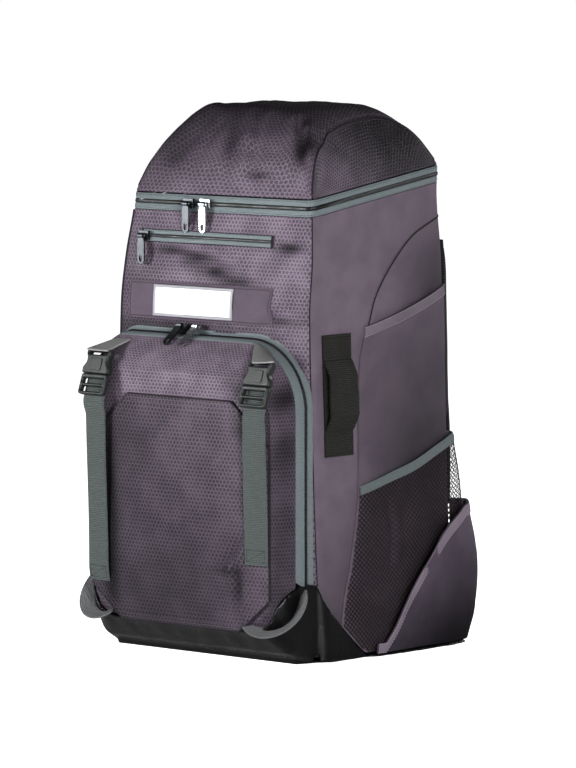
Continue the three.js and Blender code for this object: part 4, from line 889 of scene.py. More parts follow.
@dataclass(frozen=True)
class Finish:
    """What every finish has: a name, a material slot and typical shader values."""

    name: str
    slot: str
    colour: str
    rough: float = 0.85
    metal: float = 0.0
    ior: float = 1.5
    specular: float = 0.5

    def start(self) -> tuple[bpy.types.NodeTree, bpy.types.Node]:
        """Makes the material with its constant values and returns its tree and shader."""
        made = bpy.data.materials.new(self.name)
        made.use_nodes = True
        made.diffuse_color = linear(self.colour)
        tree = made.node_tree
        shader = tree.nodes["Principled BSDF"]
        shader.inputs["Base Color"].default_value = linear(self.colour)
        shader.inputs["Roughness"].default_value = self.rough
        shader.inputs["Metallic"].default_value = self.metal
        if self.metal == 0:
            shader.inputs["IOR"].default_value = self.ior
            shader.inputs["Specular IOR Level"].default_value = self.specular
        return tree, shader

    def place(self, tree: bpy.types.NodeTree, by_cut: bool) -> bpy.types.NodeSocket:
        """The pattern's place in mm: along the cloth by its UV map, or in the object's own space."""
        if by_cut:
            return add(tree, "ShaderNodeUVMap", uv_map="Cut").outputs[0]
        spot = add(tree, "ShaderNodeTexCoord").outputs["Object"]
        return add(tree, "ShaderNodeMapping", {"Vector": spot, "Scale": (1000, 1000, 1000)}).outputs[0]

    def paint(self, tree: bpy.types.NodeTree, shader: bpy.types.Node, colour: Paint) -> None:
        """Joins a colour to the shader, darkened by the painted shade held in the piece's Shade attribute."""
        shade = add(tree, "ShaderNodeAttribute", attribute_name="Shade").outputs["Fac"]
        # painted shade: the colour goes towards near black where Shade is high
        tree.links.new(blend(tree, shade, colour, linear("#0b0a0e")), shader.inputs["Base Color"])

    def bump(self, tree: bpy.types.NodeTree, shader: bpy.types.Node, height: bpy.types.NodeSocket,
             deep: float, strength: float = 1.0) -> None:
        """Joins a height pattern to the shader, deep mm from its lowest to its highest."""
        made = add(tree, "ShaderNodeBump", {"Height": height, "Strength": strength, "Distance": deep * MM})
        tree.links.new(made.outputs[0], shader.inputs["Normal"])

    def make(self) -> bpy.types.Material:
        """The plain material; each kind of finish adds its own pattern."""
        self.start()
        return bpy.data.materials[self.name]

    @property
    def material(self) -> bpy.types.Material:
        """The material, made once."""
        return bpy.data.materials.get(self.name) or self.make()


@dataclass(frozen=True)
class Dobby(Finish):
    """Coated polyester woven with a raised hexagon net, 6.8 mm across: the net's long floats catch the light and
    the cells between them stay dull and darker."""

    dark: str = "#453d48"
    pitch: float = 4.2
    net: float = 0.4
    fleck: float = 0.5

    def make(self) -> bpy.types.Material:
        """Three sets of waves at 60 degrees add up to a hexagon net; a fine fleck breaks it up as yarn does."""
        tree, shader = self.start()
        spot = self.place(tree, True)
        total = None
        k = 4 * math.pi / (math.sqrt(3) * self.pitch)
        for turn in (90, 30, 150):
            way = (k * math.cos(math.radians(turn)), k * math.sin(math.radians(turn)), 0)
            dot = add(tree, "ShaderNodeVectorMath", {0: spot, 1: way}, operation="DOT_PRODUCT").outputs["Value"]
            wave = calc(tree, "COSINE", dot)
            total = wave if total is None else calc(tree, "ADD", total, wave)
        net = ramp(tree, total, 0.1, -1.0)
        yarn = add(tree, "ShaderNodeTexNoise", {"Vector": spot, "Scale": 1.1, "Detail": 2.0}).outputs[0]
        wide = add(tree, "ShaderNodeTexNoise", {"Vector": spot, "Scale": 0.035, "Detail": 3.0}).outputs[0]
        fleck = ramp(tree, yarn, 0.38, 0.64)
        lit = calc(tree, "ADD", calc(tree, "MULTIPLY", net, self.net), calc(tree, "MULTIPLY", fleck, self.fleck))
        lit = calc(tree, "ADD", lit, ramp(tree, wide, 0.3, 0.7, -0.12, 0.12))
        self.paint(tree, shader, blend(tree, lit, linear(self.dark), linear(self.colour)))
        tree.links.new(ramp(tree, net, 0, 1, self.rough, self.rough - 0.28), shader.inputs["Roughness"])
        self.bump(tree, shader, calc(tree, "ADD", net, calc(tree, "MULTIPLY", yarn, 0.7)), 0.35)
        return bpy.data.materials[self.name]


@dataclass(frozen=True)
class PlainWeave(Finish):
    """Plain-woven polyester, threads 0.5 mm apart, drawn 0.9 mm apart so that they show: flat and even, with a
    faint cross grain and a soft uneven shade."""

    shade: str = "#5a525e"
    thread: float = 0.9

    def make(self) -> bpy.types.Material:
        """Warp and weft are sine waves along the cut's two ways; a wide noise gives the uneven shade."""
        tree, shader = self.start()
        spot = self.place(tree, True)
        parts = add(tree, "ShaderNodeSeparateXYZ", {0: spot}).outputs
        k = 2 * math.pi / self.thread
        warp = calc(tree, "SINE", calc(tree, "MULTIPLY", parts[0], k))
        weft = calc(tree, "SINE", calc(tree, "MULTIPLY", parts[1], k))
        grain = calc(tree, "MULTIPLY", warp, weft)
        wide = add(tree, "ShaderNodeTexNoise", {"Vector": spot, "Scale": 0.03, "Detail": 4.0}).outputs[0]
        fine = add(tree, "ShaderNodeTexNoise", {"Vector": spot, "Scale": 1.1, "Detail": 2.0}).outputs[0]
        tone = calc(tree, "ADD", ramp(tree, wide, 0.3, 0.7, 0.0, 0.35), ramp(tree, fine, 0.35, 0.7, -0.1, 0.22))
        tone = calc(tree, "ADD", tone, calc(tree, "MULTIPLY", grain, 0.07))
        self.paint(tree, shader, blend(tree, tone, linear(self.colour), linear(self.shade)))
        self.bump(tree, shader, calc(tree, "ADD", grain, calc(tree, "MULTIPLY", fine, 1.4)), 0.12)
        return bpy.data.materials[self.name]


@dataclass(frozen=True)
class Webbing(Finish):
    """Flat-woven webbing: ribs run across it, 1.7 mm apart, and both selvedges are a shade darker."""

    shade: str = "#3f4645"
    rib: float = 1.7
    across: bool = True
    deep: float = 0.4

    def make(self) -> bpy.types.Material:
        """Ribs are a sine along one way of the cut, broken by a finer one the other way."""
        tree, shader = self.start()
        spot = self.place(tree, True)
        parts = add(tree, "ShaderNodeSeparateXYZ", {0: spot}).outputs
        main, other = (parts[1], parts[0]) if self.across else (parts[0], parts[1])
        rib = calc(tree, "SINE", calc(tree, "MULTIPLY", main, 2 * math.pi / self.rib))
        cord = calc(tree, "SINE", calc(tree, "MULTIPLY", other, 2 * math.pi / (self.rib * 0.9)))
        weave = calc(tree, "ADD", rib, calc(tree, "MULTIPLY", calc(tree, "MULTIPLY", rib, cord), 0.6))
        fine = add(tree, "ShaderNodeTexNoise", {"Vector": spot, "Scale": 0.5, "Detail": 3.0}).outputs[0]
        tone = calc(tree, "ADD", ramp(tree, weave, 0.9, -1.2, 0.0, 0.75), ramp(tree, fine, 0.3, 0.7, -0.1, 0.2))
        self.paint(tree, shader, blend(tree, tone, linear(self.colour), linear(self.shade)))
        self.bump(tree, shader, calc(tree, "ADD", weave, fine), self.deep)
        return bpy.data.materials[self.name]


@dataclass(frozen=True)
class Coated(Finish):
    """Heavy cloth under a smooth black coating: it keeps a faint grain of the threads and a soft sheen."""

    grain: float = 1.2

    def make(self) -> bpy.types.Material:
        """A grain of small cells and a wide unevenness, in the coating's height and gloss."""
        tree, shader = self.start()
        shader.inputs["Coat Weight"].default_value = 0.1
        shader.inputs["Coat Roughness"].default_value = 0.3
        spot = self.place(tree, False)
        cell = add(tree, "ShaderNodeTexVoronoi", {"Vector": spot, "Scale": 1 / self.grain}).outputs["Distance"]
        wide = add(tree, "ShaderNodeTexNoise", {"Vector": spot, "Scale": 0.05, "Detail": 3.0}).outputs[0]
        tree.links.new(ramp(tree, wide, 0.3, 0.7, self.rough - 0.07, self.rough + 0.1), shader.inputs["Roughness"])
        self.bump(tree, shader, calc(tree, "ADD", cell, calc(tree, "MULTIPLY", wide, 6.0)), 0.12)
        return bpy.data.materials[self.name]


@dataclass(frozen=True)
class Moulded(Finish):
    """Injection-moulded acetal, as buckles and locks are: a fine spark texture and slight shine."""

    def make(self) -> bpy.types.Material:
        """Fine noise for the mould's texture, wide noise for handling marks."""
        tree, shader = self.start()
        spot = self.place(tree, False)
        fine = add(tree, "ShaderNodeTexNoise", {"Vector": spot, "Scale": 2.5, "Detail": 2.0}).outputs[0]
        wide = add(tree, "ShaderNodeTexNoise", {"Vector": spot, "Scale": 0.12, "Detail": 3.0}).outputs[0]
        tree.links.new(ramp(tree, wide, 0.3, 0.7, self.rough - 0.08, self.rough + 0.1), shader.inputs["Roughness"])
        self.bump(tree, shader, fine, 0.05)
        return bpy.data.materials[self.name]


@dataclass(frozen=True)
class CastZinc(Finish):
    """Die-cast zinc, plated: tumbled smooth, with soft scratches that break up its reflections."""

    def make(self) -> bpy.types.Material:
        """Long thin noise for the tumbling marks."""
        tree, shader = self.start()
        spot = self.place(tree, False)
        long = add(tree, "ShaderNodeMapping", {"Vector": spot, "Scale": (1.6, 1.6, 0.25)}).outputs[0]
        mark = add(tree, "ShaderNodeTexNoise", {"Vector": long, "Scale": 1.0, "Detail": 4.0}).outputs[0]
        tree.links.new(ramp(tree, mark, 0.3, 0.7, self.rough - 0.06, self.rough + 0.14), shader.inputs["Roughness"])
        self.bump(tree, shader, mark, 0.03)
        return bpy.data.materials[self.name]


@dataclass(frozen=True)
class SpacerMesh(Finish):
    """Knitted spacer mesh over foam: rows of small round holes 2.6 mm apart in a soft black knit."""

    pitch: float = 2.6

    def make(self) -> bpy.types.Material:
        """Cells on an even grid give the holes, painted near black inside as the shade down in them."""
        tree, shader = self.start()
        spot = self.place(tree, True)
        hole = add(tree, "ShaderNodeTexVoronoi", {"Vector": spot, "Scale": 1 / self.pitch, "Randomness": 0.12})
        rim = ramp(tree, hole.outputs["Distance"], 0.22, 0.42)
        # The near black in the holes is painted shade.
        tree.links.new(blend(tree, rim, linear("#070708"), linear(self.colour)), shader.inputs["Base Color"])
        self.bump(tree, shader, rim, 0.6)
        return bpy.data.materials[self.name]


PLUM_DOBBY = Dobby("Hexagon dobby polyester, plum", "plum_cloth", "#948796", rough=0.72, specular=0.18)
PLUM_PLAIN = PlainWeave("Plain polyester, plum", "plum_cloth", "#7b707c", specular=0.2)
PLUM_DARK = PlainWeave("Plain polyester, dark plum", "dark_plum_cloth", "#6d626e", shade="#514956", specular=0.2)
BACK_PLAIN = PlainWeave("Plain polyester, black", "back_foam", "#242327", shade="#151518", rough=0.9)
ZIP_TAPE = Webbing("Woven zip tape, blue-grey", "zip_tape", "#8a9497", shade="#656e71", rib=1.3, across=False, deep=0.2)
COIL = Moulded("Nylon zip coil", "zip_coil", "#26282a", rough=0.4)
STRAP_GREY = Webbing("Flat webbing, green-grey", "grey_webbing", "#69716f", shade="#474e4d")
LIGHT_WEBBING = Webbing("Flat webbing, light grey", "light_webbing", "#a5a6a4", shade="#6f7071", rib=1.4)
LOOP_WEBBING = Webbing("Flat webbing, mid grey", "light_webbing", "#909193", shade="#5f6063", rib=1.4)
NET_TAPE = Webbing("Bound edge tape, blue-grey", "zip_tape", "#8c9698", shade="#666f72", rib=1.2)
BLACK_WEBBING = Webbing("Flat webbing, black", "black_webbing", "#34342f", shade="#151514", rib=1.9, deep=0.5)
COATED_BASE = Coated("Coated base cloth, black", "coated_base", "#050506", rough=0.32, specular=0.3)
NET_YARN = Moulded("Knotted net yarn, dark brown", "net", "#241e1f", rough=0.7, specular=0.25)
BUCKLE = Moulded("Moulded acetal, charcoal", "buckle_plastic", "#2c302f", rough=0.38)
PLATE = Moulded("Soft moulded plate, white", "plate_white", "#dfdfe2", rough=0.55)
PLATE_RIM = Moulded("Soft moulded plate, silver-grey rim", "plate_white", "#8f8f95", rough=0.45)
SPACER = SpacerMesh("Spacer mesh, black", "back_foam", "#2b2b2e", rough=0.95)
GUNMETAL = CastZinc("Plated zinc, gunmetal", "gunmetal", "#55585b", rough=0.36, metal=1.0)
SILVER = CastZinc("Plated zinc, bright", "silver", "#b9bbbe", rough=0.27, metal=1.0)
HEM_CLOTH = PlainWeave("Plain polyester, turned hem", "light_webbing", "#8d838f", shade="#6a606c", specular=0.2)
POUCH_CLOTH = PlainWeave("Plain polyester, pouch", "plum_cloth", "#746977", shade="#4c4652", specular=0.15)
FLOOR = Moulded("Matt backdrop card, white", "plate_white", "#f4f4f4", rough=0.95)
THREAD_PLUM = Moulded("Sewing thread, plum", "dark_plum_cloth", "#5d5460", rough=0.7)
THREAD_LIGHT = Moulded("Sewing thread, light", "light_webbing", "#a8a2aa", rough=0.7)
THREAD_DARK = Moulded("Sewing thread, black", "zip_coil", "#1d1b1f", rough=0.7)
PIPING = PlainWeave("Seam binding, dark", "dark_plum_cloth", "#2c272f", shade="#1c191f")


@dataclass(frozen=True)
class DarkPatch:
    """Painted shade: a soft patch that darkens the cloth for a shadow, a shaded fold or a face away from the lights."""

    pieces: str
    centre: tuple[float, float, float]
    size: tuple[float, float, float]
    deep: float

    def at(self, spots: Grid) -> Grid:
        """The depth times exp(-d^2), with d the distance from the centre in patch sizes."""
        away = (spots - np.array(self.centre)) / np.array(self.size)
        return self.deep * np.exp(-np.sum(away ** 2, axis=-1))


FAR = 1e4
# Painted shade: shadows cast beside the flap straps and buckles, shade in folds, and darker faces turned from the
# lights, such as the lid's top and the low and rear parts of the sides.
PAINTED_SHADE_PATCHES = (
    DarkPatch("lid_", (0, 0, 545), (FAR, FAR, 66), 0.97),
    DarkPatch("lid_", (-140, -60, 505), (100, 170, 66), 0.97),
    DarkPatch("lid_gusset_right", (120, 30, 470), (FAR, 85, 60), 0.8),
    DarkPatch("lid_centre", (84, -86, 476), (8, 20, 26), 0.92),
    DarkPatch("lid_centre", (40, -100, 452), (16, 30, 4), 0.7),
    DarkPatch("lid_centre", (-70, -100, 462), (14, 30, 12), 0.5),
    DarkPatch("lid_centre", (0, -90, 480), (12, 30, 22), 0.45),
    DarkPatch("flap_cloth", (-83, -170, 150), (8, FAR, 80), 0.95),
    DarkPatch("flap_cloth", (-83, -170, 90), (10, FAR, 60), 0.9),
    DarkPatch("flap_cloth", (76, -170, 76), (5, FAR, 16), 0.6),
    DarkPatch("flap_cloth", (60, -170, 88), (18, FAR, 4), 0.6),
    DarkPatch("flap_cloth", (82, -170, 222), (10, FAR, 14), 0.7),
    DarkPatch("pocket_cloth", (74, -160, 258), (20, FAR, 12), 0.55),
    DarkPatch("pocket_cloth", (114, -160, 250), (10, FAR, 14), 0.85),
    DarkPatch("pocket_cloth", (116, -160, 205), (10, FAR, 20), 0.6),
    DarkPatch("pocket_cloth", (-100, -160, 262), (14, FAR, 20), 0.6),
    DarkPatch("flap_cloth", (0, -170, 150), (FAR, FAR, FAR), 0.36),
    DarkPatch("flap_cloth", (-50, -170, 50), (120, FAR, 90), 0.55),
    DarkPatch("flap_cloth", (-70, -170, 200), (60, FAR, 70), 0.5),
    DarkPatch("flap_cloth", (30, -170, 110), (60, FAR, 100), 0.25),
    DarkPatch("pocket_cloth", (0, -170, 10), (FAR, FAR, 60), 0.6),
    DarkPatch("pocket_cloth", (114, -150, 130), (20, FAR, 120), 0.6),
    DarkPatch("body_front", (-110, -120, 300), (40, FAR, 120), 0.4),
    DarkPatch("body_front", (-55, -120, 378), (24, FAR, 5), 0.75),
    DarkPatch("body_front", (-24, -120, 372), (20, FAR, 6), 0.8),
    DarkPatch("body_front", (2, -120, 360), (18, FAR, 7), 0.8),
    DarkPatch("body_front", (30, -120, 352), (26, FAR, 5), 0.7),
    DarkPatch("body_front", (84, -120, 318), (26, FAR, 4), 0.6),
    DarkPatch("body_front", (-40, -120, 303), (90, FAR, 13), 0.8),
    DarkPatch("body_front", (88, -120, 386), (16, FAR, 5), 0.9),
    DarkPatch("body_side", (0, 66, 340), (FAR, 55, 58), 0.62),
    DarkPatch("sleeve_", (0, 50, 220), (FAR, 120, 130), 0.55),
    DarkPatch("sleeve_", (0, 20, 190), (FAR, 60, 30), 0.35),
    DarkPatch("foot_pouch", (0, 60, -10), (FAR, 110, 60), 0.97),
    DarkPatch("foot_pouch", (0, 60, 60), (FAR, 60, 90), 0.4),
    DarkPatch("body_side", (0, -80, 20), (FAR, 60, 90), 0.4),
    DarkPatch("foot_pouch", (0, 100, 10), (FAR, 60, 60), 0.6),
)


@dataclass
class Dresser:
    """Gives pieces their finish, their body and the nodes they stand for, and reports them."""

    made: list[bpy.types.Object] = field(default_factory=list)

    def shade(self, piece: bpy.types.Object) -> None:
        """Writes the painted shade at each point of a piece, where any shade patch names it."""
        patches = [patch for patch in PAINTED_SHADE_PATCHES if piece.name.startswith(patch.pieces)]
        if not patches:
            return
        mesh = piece.data
        spots = np.empty(len(mesh.vertices) * 3)
        mesh.vertices.foreach_get("co", spots)
        spots = spots.reshape(-1, 3) / MM
        left = np.prod([1 - patch.at(spots) for patch in patches], axis=0)
        mesh.attributes.new("Shade", "FLOAT", "POINT").data.foreach_set("value", (1 - left).astype(np.float32))

    def dress(self, piece: bpy.types.Object, finish: Finish, nodes: Sequence[str] = (), body: str = "bag"
              ) -> bpy.types.Object:
        """Finishes one piece.

        Args:
            piece: the object.
            finish: its finish.
            nodes: the CAD nodes that it stands for.
            body: the body it moves with.

        Returns:
            The piece.
        """
        piece.data.materials.clear()
        piece.data.materials.append(finish.material)
        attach(piece, body)
        if nodes:
            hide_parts(*nodes)
        self.shade(piece)
        self.made.append(piece)
        LOG.info("%s: %d faces, %s", piece.name, len(piece.data.polygons), finish.name)
        return piece


DRESSER = Dresser()


# ---------------------------------------------------------------- sub-assemblies


BODY = BodyShape()
WALLS = Walls()
LID = LidShape()
POCKET = PocketShape()


@dataclass
class SewnBody:
    """The main compartment's four cloth panels, its piping and seams."""

    panel_low: float = 6.0
    piping: float = 1.3
    seam_stitch: float = 3.2

    def below_band(self, q: Grid) -> Grid:
        """The height just under the lid zip's band."""
        return BODY.zip_line(q) - BODY.band / 2 - WALLS.gap

    def panel(self, name: str, low: float, high: float, count: int, finish: Finish, rise: float = 1.0,
              uv_from: tuple[int, int] | None = None) -> None:
        """One panel between two places round the body, from the floor to the zip band."""
        surface = lambda q, v: BODY.point(q, mix(self.panel_low, self.below_band(q), v))
        grid = SheetMesh.over(surface, lines(low, high, count), lines(0, rise, 150))
        DRESSER.dress(lay(f"{name}_cloth", grid, -WALLS.cloth, 0, uv_from=uv_from), finish, [name])

    def build(self) -> None:
        """Makes the panels."""
        e = 0.0055
        self.panel("body_front", -1 + e, 1 - e, 100, PLUM_DOBBY, uv_from=(0, 2))
        for side in Side:
            ends = sorted((side.value * 1.0028, side.value * 1.9972))
            self.panel(f"body_side_{side.word}", *ends, 80, PLUM_PLAIN)
        back_rise = (BODY.band + WALLS.gap) / (float(self.below_band(np.array(3.0))) - self.panel_low)
        self.panel("body_back", 2 + e, 4 - e, 60, BACK_PLAIN, rise=1 + back_rise)

    def corner_seam(self, side: Side) -> Grid:
        """The line of the front corner seam, from above the pocket to the zip band."""
        z = np.linspace(POCKET.top - 30, float(self.below_band(np.array(1.0))) - 1, 60)
        return BODY.plain(np.full_like(z, side.value * 1.0), z)

    def seams(self) -> None:
        """Piping down the front corners and stitch rows beside it and along the sleeve's seam above its hem."""
        rows = []
        for side in Side:
            path = self.corner_seam(side)
            out = np.array([side.value * 0.7, -0.7, 0])
            radius = self.piping if side is Side.LEFT else self.piping * 0.45
            cord = sweep(f"corner_piping_{side.word}", path + out * 0.25, round_profile(radius), out)
            DRESSER.dress(cord, PIPING)
        for side in Side:
            seam = SidePieces(side).upper_seam()
            out = np.array([side.value, 0, 0])
            DRESSER.dress(sweep(f"sleeve_seam_{side.word}", seam, flat_profile(1.6, 0.7), out), PIPING)
            rows.append((seam + np.array([side.value * 0.15, -3.0, 0]), out))
        DRESSER.dress(stitch_row("seam_stitches", rows, self.seam_stitch), THREAD_PLUM)


@dataclass
class ZipCoil:
    """A zip's coil: a row of small loops of nylon between its tapes."""

    pitch: float = 2.2
    tooth: tuple[float, float, float] = (1.3, 3.4, 1.5)

    def build(self, name: str, path: Grid, up: Grid, nodes: Sequence[str]) -> None:
        """Lays a core cord along the path and a loop across it every pitch.

        Args:
            name: the piece's name.
            path: the coil's middle line in mm.
            up: the outward direction along it.
            nodes: the CAD nodes that it stands for.
        """
        core = sweep(f"{name}_core", path, flat_profile(2.0, 0.8), up)
        DRESSER.dress(core, COIL, nodes)
        even = resample(path, self.pitch)
        run = np.linspace(0, 1, len(path))
        ups = np.broadcast_to(up, path.shape)
        at = np.linspace(0, 1, len(even))
        even_up = np.stack([np.interp(at, run, ups[:, c]) for c in range(3)], axis=-1)
        frames = path_frames(even, even_up)
        shape, faces = bead(self.tooth[1], self.tooth[0], self.tooth[2], 0.6)
        turned = frames[:, [1, 0, 2]]
        turned[:, 1] *= -1
        lift = frames[:, 2] * 0.7
        DRESSER.dress(repeat_shape(f"{name}_teeth", shape, faces, even + lift, turned), COIL)


@dataclass
class LidZip:
    """The zip round the lid: two tapes and the coil between them."""

    coil_half: float = 1.9
    ends: float = 1.99

    def places(self, count: int = 320) -> Grid:
        """Places round the front and both sides, close together at the corners."""
        flat = np.linspace(-self.ends, self.ends, count)
        corner = np.linspace(-0.07, 0.07, 16)
        return np.unique(np.concatenate([flat, 1 + corner, -1 + corner]))

    def band(self, name: str, low: float, high: float, node: str) -> None:
        """One tape between two distances up from the band's middle, slightly cupped across."""
        surface = lambda q, v: BODY.point(q, BODY.zip_line(q) + mix(low, high, v))
        grid = SheetMesh.over(surface, self.places(), lines(0, 1, 8, 0.06))
        bow = 0.5 * np.sin(np.pi * grid.up) + 0.12 * ripple(grid.across * 230, grid.up * 8, 30, 5)
        DRESSER.dress(lay(name, grid, -WALLS.tape, bow, hem=0.4), ZIP_TAPE, [node])

    def build(self) -> None:
        """Makes the tapes, the coil, and a stitch row on each tape."""
        half = BODY.band / 2
        self.band("lid_zip_lower", -half, -self.coil_half, "lid_tape_lower")
        self.band("lid_zip_upper", self.coil_half, half, "lid_tape_upper")
        q = self.places()
        mid = BODY.plain(q, BODY.zip_line(q))
        grid = SheetMesh.over(lambda a, v: BODY.plain(a, BODY.zip_line(a) + v), q, np.array([-1.0, 0, 1.0]))
        up = grid.normal[:, 1]
        ZipCoil().build("lid_zip_coil", mid - up * 0.7, up, ["lid_coil"])
        rows = []
        for rise in (-half + 1.6, half - 1.6):
            line = BODY.plain(q, BODY.zip_line(q) + rise)
            rows.append((line + up * 0.35, up))
        DRESSER.dress(stitch_row("lid_zip_stitches", rows, 3.0, 1.9, 0.45, 0.4), THREAD_DARK)


@dataclass
class DomedLid:
    """The lid's three panels and the two seams between them."""

    rows: int = 90

    def build(self) -> None:
        """Makes the panels, then the seam cords and their top stitching."""
        centre = SheetMesh.over(LID.centre, lines(-1, 1, 110), lines(-1, 1, self.rows))
        DRESSER.dress(lay("lid_centre_cloth", centre, -WALLS.cloth, 0), PLUM_DOBBY, ["lid_centre"])
        rows = []
        for side in Side:
            surface = lambda a, v, s=side: LID.gusset(s, a, v)
            grid = SheetMesh.over(surface, lines(-0.985, 0.985, self.rows), lines(0, 1, 34))
            name = f"lid_gusset_{side.word}"
            DRESSER.dress(lay(f"{name}_cloth", grid, -WALLS.cloth, 0), PLUM_DOBBY, [name])
            along = np.linspace(-0.97, 0.97, 90)
            middle = LID.gusset(side, along, np.zeros(90))
            up = SheetMesh.over(surface, along, np.array([0, 0.01, 0.02])).normal[:, 0]
            cord = sweep(f"lid_seam_{side.word}", middle + up * 0.1, round_profile(0.9), up)
            DRESSER.dress(cord, PIPING)
            rows.append((LID.gusset(side, along, np.full(90, 0.07)) + up * 0.15, up))
            rows.append((LID.centre(np.full(90, side.value * 0.965), along) + up * 0.15, up))
        DRESSER.dress(stitch_row("lid_stitches", rows, 3.2, 2.1, 0.5, 0.45), THREAD_PLUM)


@dataclass
class FrontPocket:
    """The deep pocket's cloth, its arched zip and its seams."""

    coil_low: float = 0.93
    coil_high: float = 1.1

    def turns(self, low: float, high: float, count: int) -> Grid:
        """Places round the outline, close together in its four corners."""
        even = np.linspace(low, high, count)
        corners = [np.linspace(a, a + 1, 14) for a in (1, 3, 6, 8)]
        all_turns = np.unique(np.concatenate([even, *corners]))
        return all_turns[(all_turns >= low) & (all_turns <= high)]

    def wrinkled(self, turn: Grid, k: Grid) -> Grid:
        """The pocket's surface with soft folds in its side walls, strongest between the zip and the face's rim."""
        p = POCKET.point(turn, k)
        wall = smooth(k, 2.2, 2.9) * (1 - smooth(k, 4.0, 4.35))
        run = turn * 62
        lift = wall * (0.9 * ripple(run, k * 20, 34, 31) + 0.9 * ripple(run, k * 9, 15, 32))
        out = p - np.array([0.0, POCKET.plane, 150.0])
        out = out / np.maximum(np.linalg.norm(out, axis=-1, keepdims=True), 1)
        return p + out * lift[..., None]

    def build(self) -> None:
        """Makes the cloth as one closed sheet, with a row of face points that closes its middle."""
        ks = np.concatenate([np.linspace(2.02, 4, 26), np.linspace(4, 5, 50)[1:] - 0.004])
        grid = SheetMesh.over(self.wrinkled, self.turns(0, 10, 150), ks,
                              centre=np.array([0, POCKET.plane + 20, 150.0]))
        x, y, z = (grid.place[..., axis] for axis in range(3))
        back = y - POCKET.plane + POCKET.depth
        sides = smooth(np.abs(x), 70, 112)
        cut = np.stack([x + np.sign(x) * sides * back, z + (1 - sides) * back], axis=-1)
        cloth = lay("pocket_cloth", grid, -WALLS.cloth, 0, wrap=True, uv_from=cut)
        DRESSER.dress(cloth, PLUM_DOBBY, ["pocket_shell"])
        self.close_face()
        self.zip()
        self.rim_seam()

    def close_face(self) -> None:
        """A small round of the same cloth over the middle of the face, under the flap."""
        x, z = np.linspace(-3, 3, 5), np.linspace(-3, 3, 5) + POCKET.face_rim[2]
        grid = SheetMesh.over(lambda a, b: points(a, POCKET.face_y(a, b), b), x, z,
                              centre=np.array([0, POCKET.plane, POCKET.face_rim[2]]))
        DRESSER.dress(lay("pocket_middle", grid, -WALLS.cloth, 0.1, uv_from=(0, 2)), PLUM_DOBBY)

    def zip(self) -> None:
        """The two tapes and the coil over the arch, from the boot on one side to the boot on the other."""
        cover = float(POCKET.section(0.0)[6]) + WALLS.gap
        centre = np.array([0.0, POCKET.plane, 150.0])
        for name, low, high in (("pocket_tape_back", 0.02, 0.88), ("pocket_tape_front", 1.15, 1.98)):
            mid = (low + high) / 2
            ends = [float(POCKET.turn_at(side, cover, mid)) for side in (Side.RIGHT, Side.LEFT)]
            grid = SheetMesh.over(POCKET.point, self.turns(*ends, 150), lines(low, high, 6, 0.08), centre=centre)
            bow = 0.4 * np.sin(np.pi * (grid.up - low) / (high - low))
            cloth = lay(f"{name}_weave", grid, -WALLS.tape, bow, hem=0.4)
            DRESSER.dress(cloth, ZIP_TAPE, [name])
        mid = (self.coil_low + self.coil_high) / 2
        ends = [float(POCKET.turn_at(side, cover, mid)) for side in (Side.RIGHT, Side.LEFT)]
        turns = self.turns(*ends, 220)
        grid = SheetMesh.over(POCKET.point, turns, np.array([mid - 0.05, mid, mid + 0.05]), centre=centre)
        path, up = grid.place[:, 1], grid.normal[:, 1]
        ZipCoil().build("pocket_zip_coil", path - up * 0.7, up, ["pocket_coil"])

    def rim_seam(self) -> None:
        """A stitched seam round the pocket just in front of its zip."""
        turns = self.turns(2.2, 7.8, 120)
        centre = np.array([0.0, POCKET.plane, 150.0])
        grid = SheetMesh.over(POCKET.point, turns, np.array([2.1, 2.14, 2.18]), centre=centre)
        rows = [(grid.place[:, 1] + grid.normal[:, 1] * 0.1, grid.normal[:, 1])]
        DRESSER.dress(stitch_row("pocket_stitches", rows, 3.0, 2.0, 0.5, 0.4), THREAD_PLUM)


@dataclass
class CoatedBoot:
    """The black coated bottom: the CAD solid's own form, rounded and smoothed."""

    def build(self, source: bpy.types.Object) -> None:
        """Copies the frame's boot, merges it, remeshes it at 1.6 mm and lays folds over its front.

        Args:
            source: the frame's boot.
        """
        mesh = source.data.copy()
        made = bpy.data.objects.new("boot_cloth", mesh)
        bpy.context.scene.collection.objects.link(made)
        made.matrix_world = source.matrix_world.copy()
        merge = made.modifiers.new("merge", "WELD")
        merge.merge_threshold = 0.00002
        fine = made.modifiers.new("remesh", "REMESH")
        fine.mode, fine.voxel_size, fine.use_smooth_shade = "VOXEL", 0.0016, True
        calm = made.modifiers.new("smooth", "SMOOTH")
        calm.factor, calm.iterations = 0.5, 4
        bpy.context.view_layer.update()
        graph = bpy.context.evaluated_depsgraph_get()
        done = bpy.data.meshes.new_from_object(made.evaluated_get(graph))
        made.modifiers.clear()
        made.data = done
        count = len(done.vertices)
        co = np.empty(count * 3)
        done.vertices.foreach_get("co", co)
        co = co.reshape(-1, 3) / MM
        front = smooth(-co[:, 1], 100, 135) * smooth(co[:, 2], 4, 22)
        lift = 0.8 * ripple(co[:, 0], co[:, 2] + co[:, 1], 30, 41) * front
        co[:, 1] -= lift * 0.7
        co[:, 2] = np.maximum(co[:, 2], 0)
        done.vertices.foreach_set("co", (co * MM).ravel())
        done.update()
        done.shade_smooth()
        DRESSER.dress(made, COATED_BASE, ["base_boot"])


